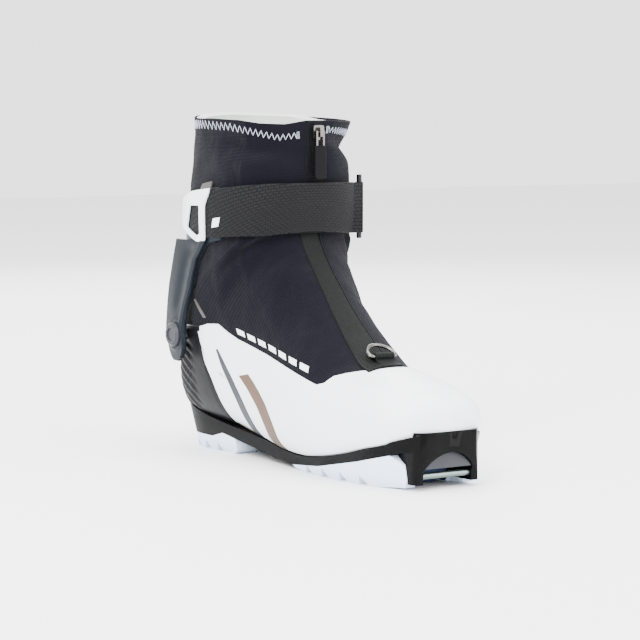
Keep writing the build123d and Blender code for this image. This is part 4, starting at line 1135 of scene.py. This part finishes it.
def strap_lead(name, height, tangent, body):
    """The straight run of a strap layer from its end on the boot to the loop round the ring's bar."""
    low, high = strap_edges(np.array([STRAP_END]))
    rows = low + (high - low) * edged(10, 0.02)
    before, end = (layer(rows, phi, np.full(rows.shape, height)) for phi in (STRAP_END + 3, STRAP_END))
    stop = np.column_stack((np.tile(NEAR_BAR + tangent * FOLD_R * RING_ACROSS, (len(rows), 1)), end[:, 2]))
    path = np.stack([before, end] + [end + (stop - end) * t for t in np.linspace(0.2, 1, 8)], 1)
    ahead = unit(np.gradient(path[..., :2], axis=1))
    out = np.stack((ahead[..., 1], -ahead[..., 0], 0 * ahead[..., 0]), -1)
    out = out * np.where(out[..., :2] @ RING_ACROSS < 0, -1, 1)[..., None]
    lead = slab(name, path + out * FOLD_THICK / 2, path - out * FOLD_THICK / 2, WEBBING, bulge=0.2)
    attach(lead, body)


strap_lead("strap_flap_lead", 3.3, 1, "strap_flap")
strap_lead("strap_under_lead", 2.1, -1, "cuff")
fold = slab("strap_fold_webbing", fold_face(FOLD_R + FOLD_THICK / 2), fold_face(FOLD_R - FOLD_THICK / 2),
            WEBBING, bulge=0.2)
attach(fold, "cuff")
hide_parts("strap_fold")

# ---- stage, in metres --------------------------------------------------------------------------
def aimed(name, data, place, aim):
    """A camera or light at a place, turned towards a point."""
    obj = bpy.data.objects.new(name, data)
    obj.location = place
    obj.rotation_euler = (Vector(aim) - Vector(place)).to_track_quat("-Z", "Y").to_euler()
    bpy.context.scene.collection.objects.link(obj)
    return obj


camera_data = bpy.data.cameras.new("camera")
camera_data.lens, camera_data.sensor_width = 136.76, 36.0
camera_data.shift_x, camera_data.shift_y = -0.0105, -0.0172
bpy.context.scene.camera = aimed("camera", camera_data, (1.30605, -0.8706, 0.234), (0.00275, 0, 0.100))

FLOOR_HALF = 4.0
floor_mesh = bpy.data.meshes.new("floor")
floor_corners = [(FLOOR_HALF * x, FLOOR_HALF * y, 0) for x, y in ((-1, -1), (1, -1), (1, 1), (-1, 1))]
floor_mesh.from_pydata(floor_corners, [], [(0, 1, 2, 3)])
floor = bpy.data.objects.new("floor", floor_mesh)
bpy.context.scene.collection.objects.link(floor)
floor_paint = Shader("floor_pale", (0.86, 0.86, 0.865), 0.8, Specular_IOR_Level=0.1)
floor_mesh.materials.append(floor_paint.material)


# Name, place, aim, size and watts of each soft light.
LIGHTS = (("key", (0.7, -1.5, 1.4), (0, 0, 0.08), 1.2, 95), ("fill", (1.6, 0.9, 0.9), (0, 0, 0.1), 1.5, 48),
          ("top", (-0.1, 0.0, 1.8), (0, 0, 0.1), 1.6, 60), ("back", (-1.4, 0.6, 1.0), (0, 0, 0.12), 1.0, 24))
for light_name, place, aim, size, watts in LIGHTS:
    light = bpy.data.lights.new(light_name, "AREA")
    light.shape, light.size, light.energy = "SQUARE", size, watts
    aimed(light_name, light, place, aim)

world = bpy.data.worlds.new("studio")
world.use_nodes = True
backdrop = world.node_tree.nodes["Background"].inputs
backdrop["Color"].default_value, backdrop["Strength"].default_value = (1, 1, 1, 1), 2.6
bpy.context.scene.world = world
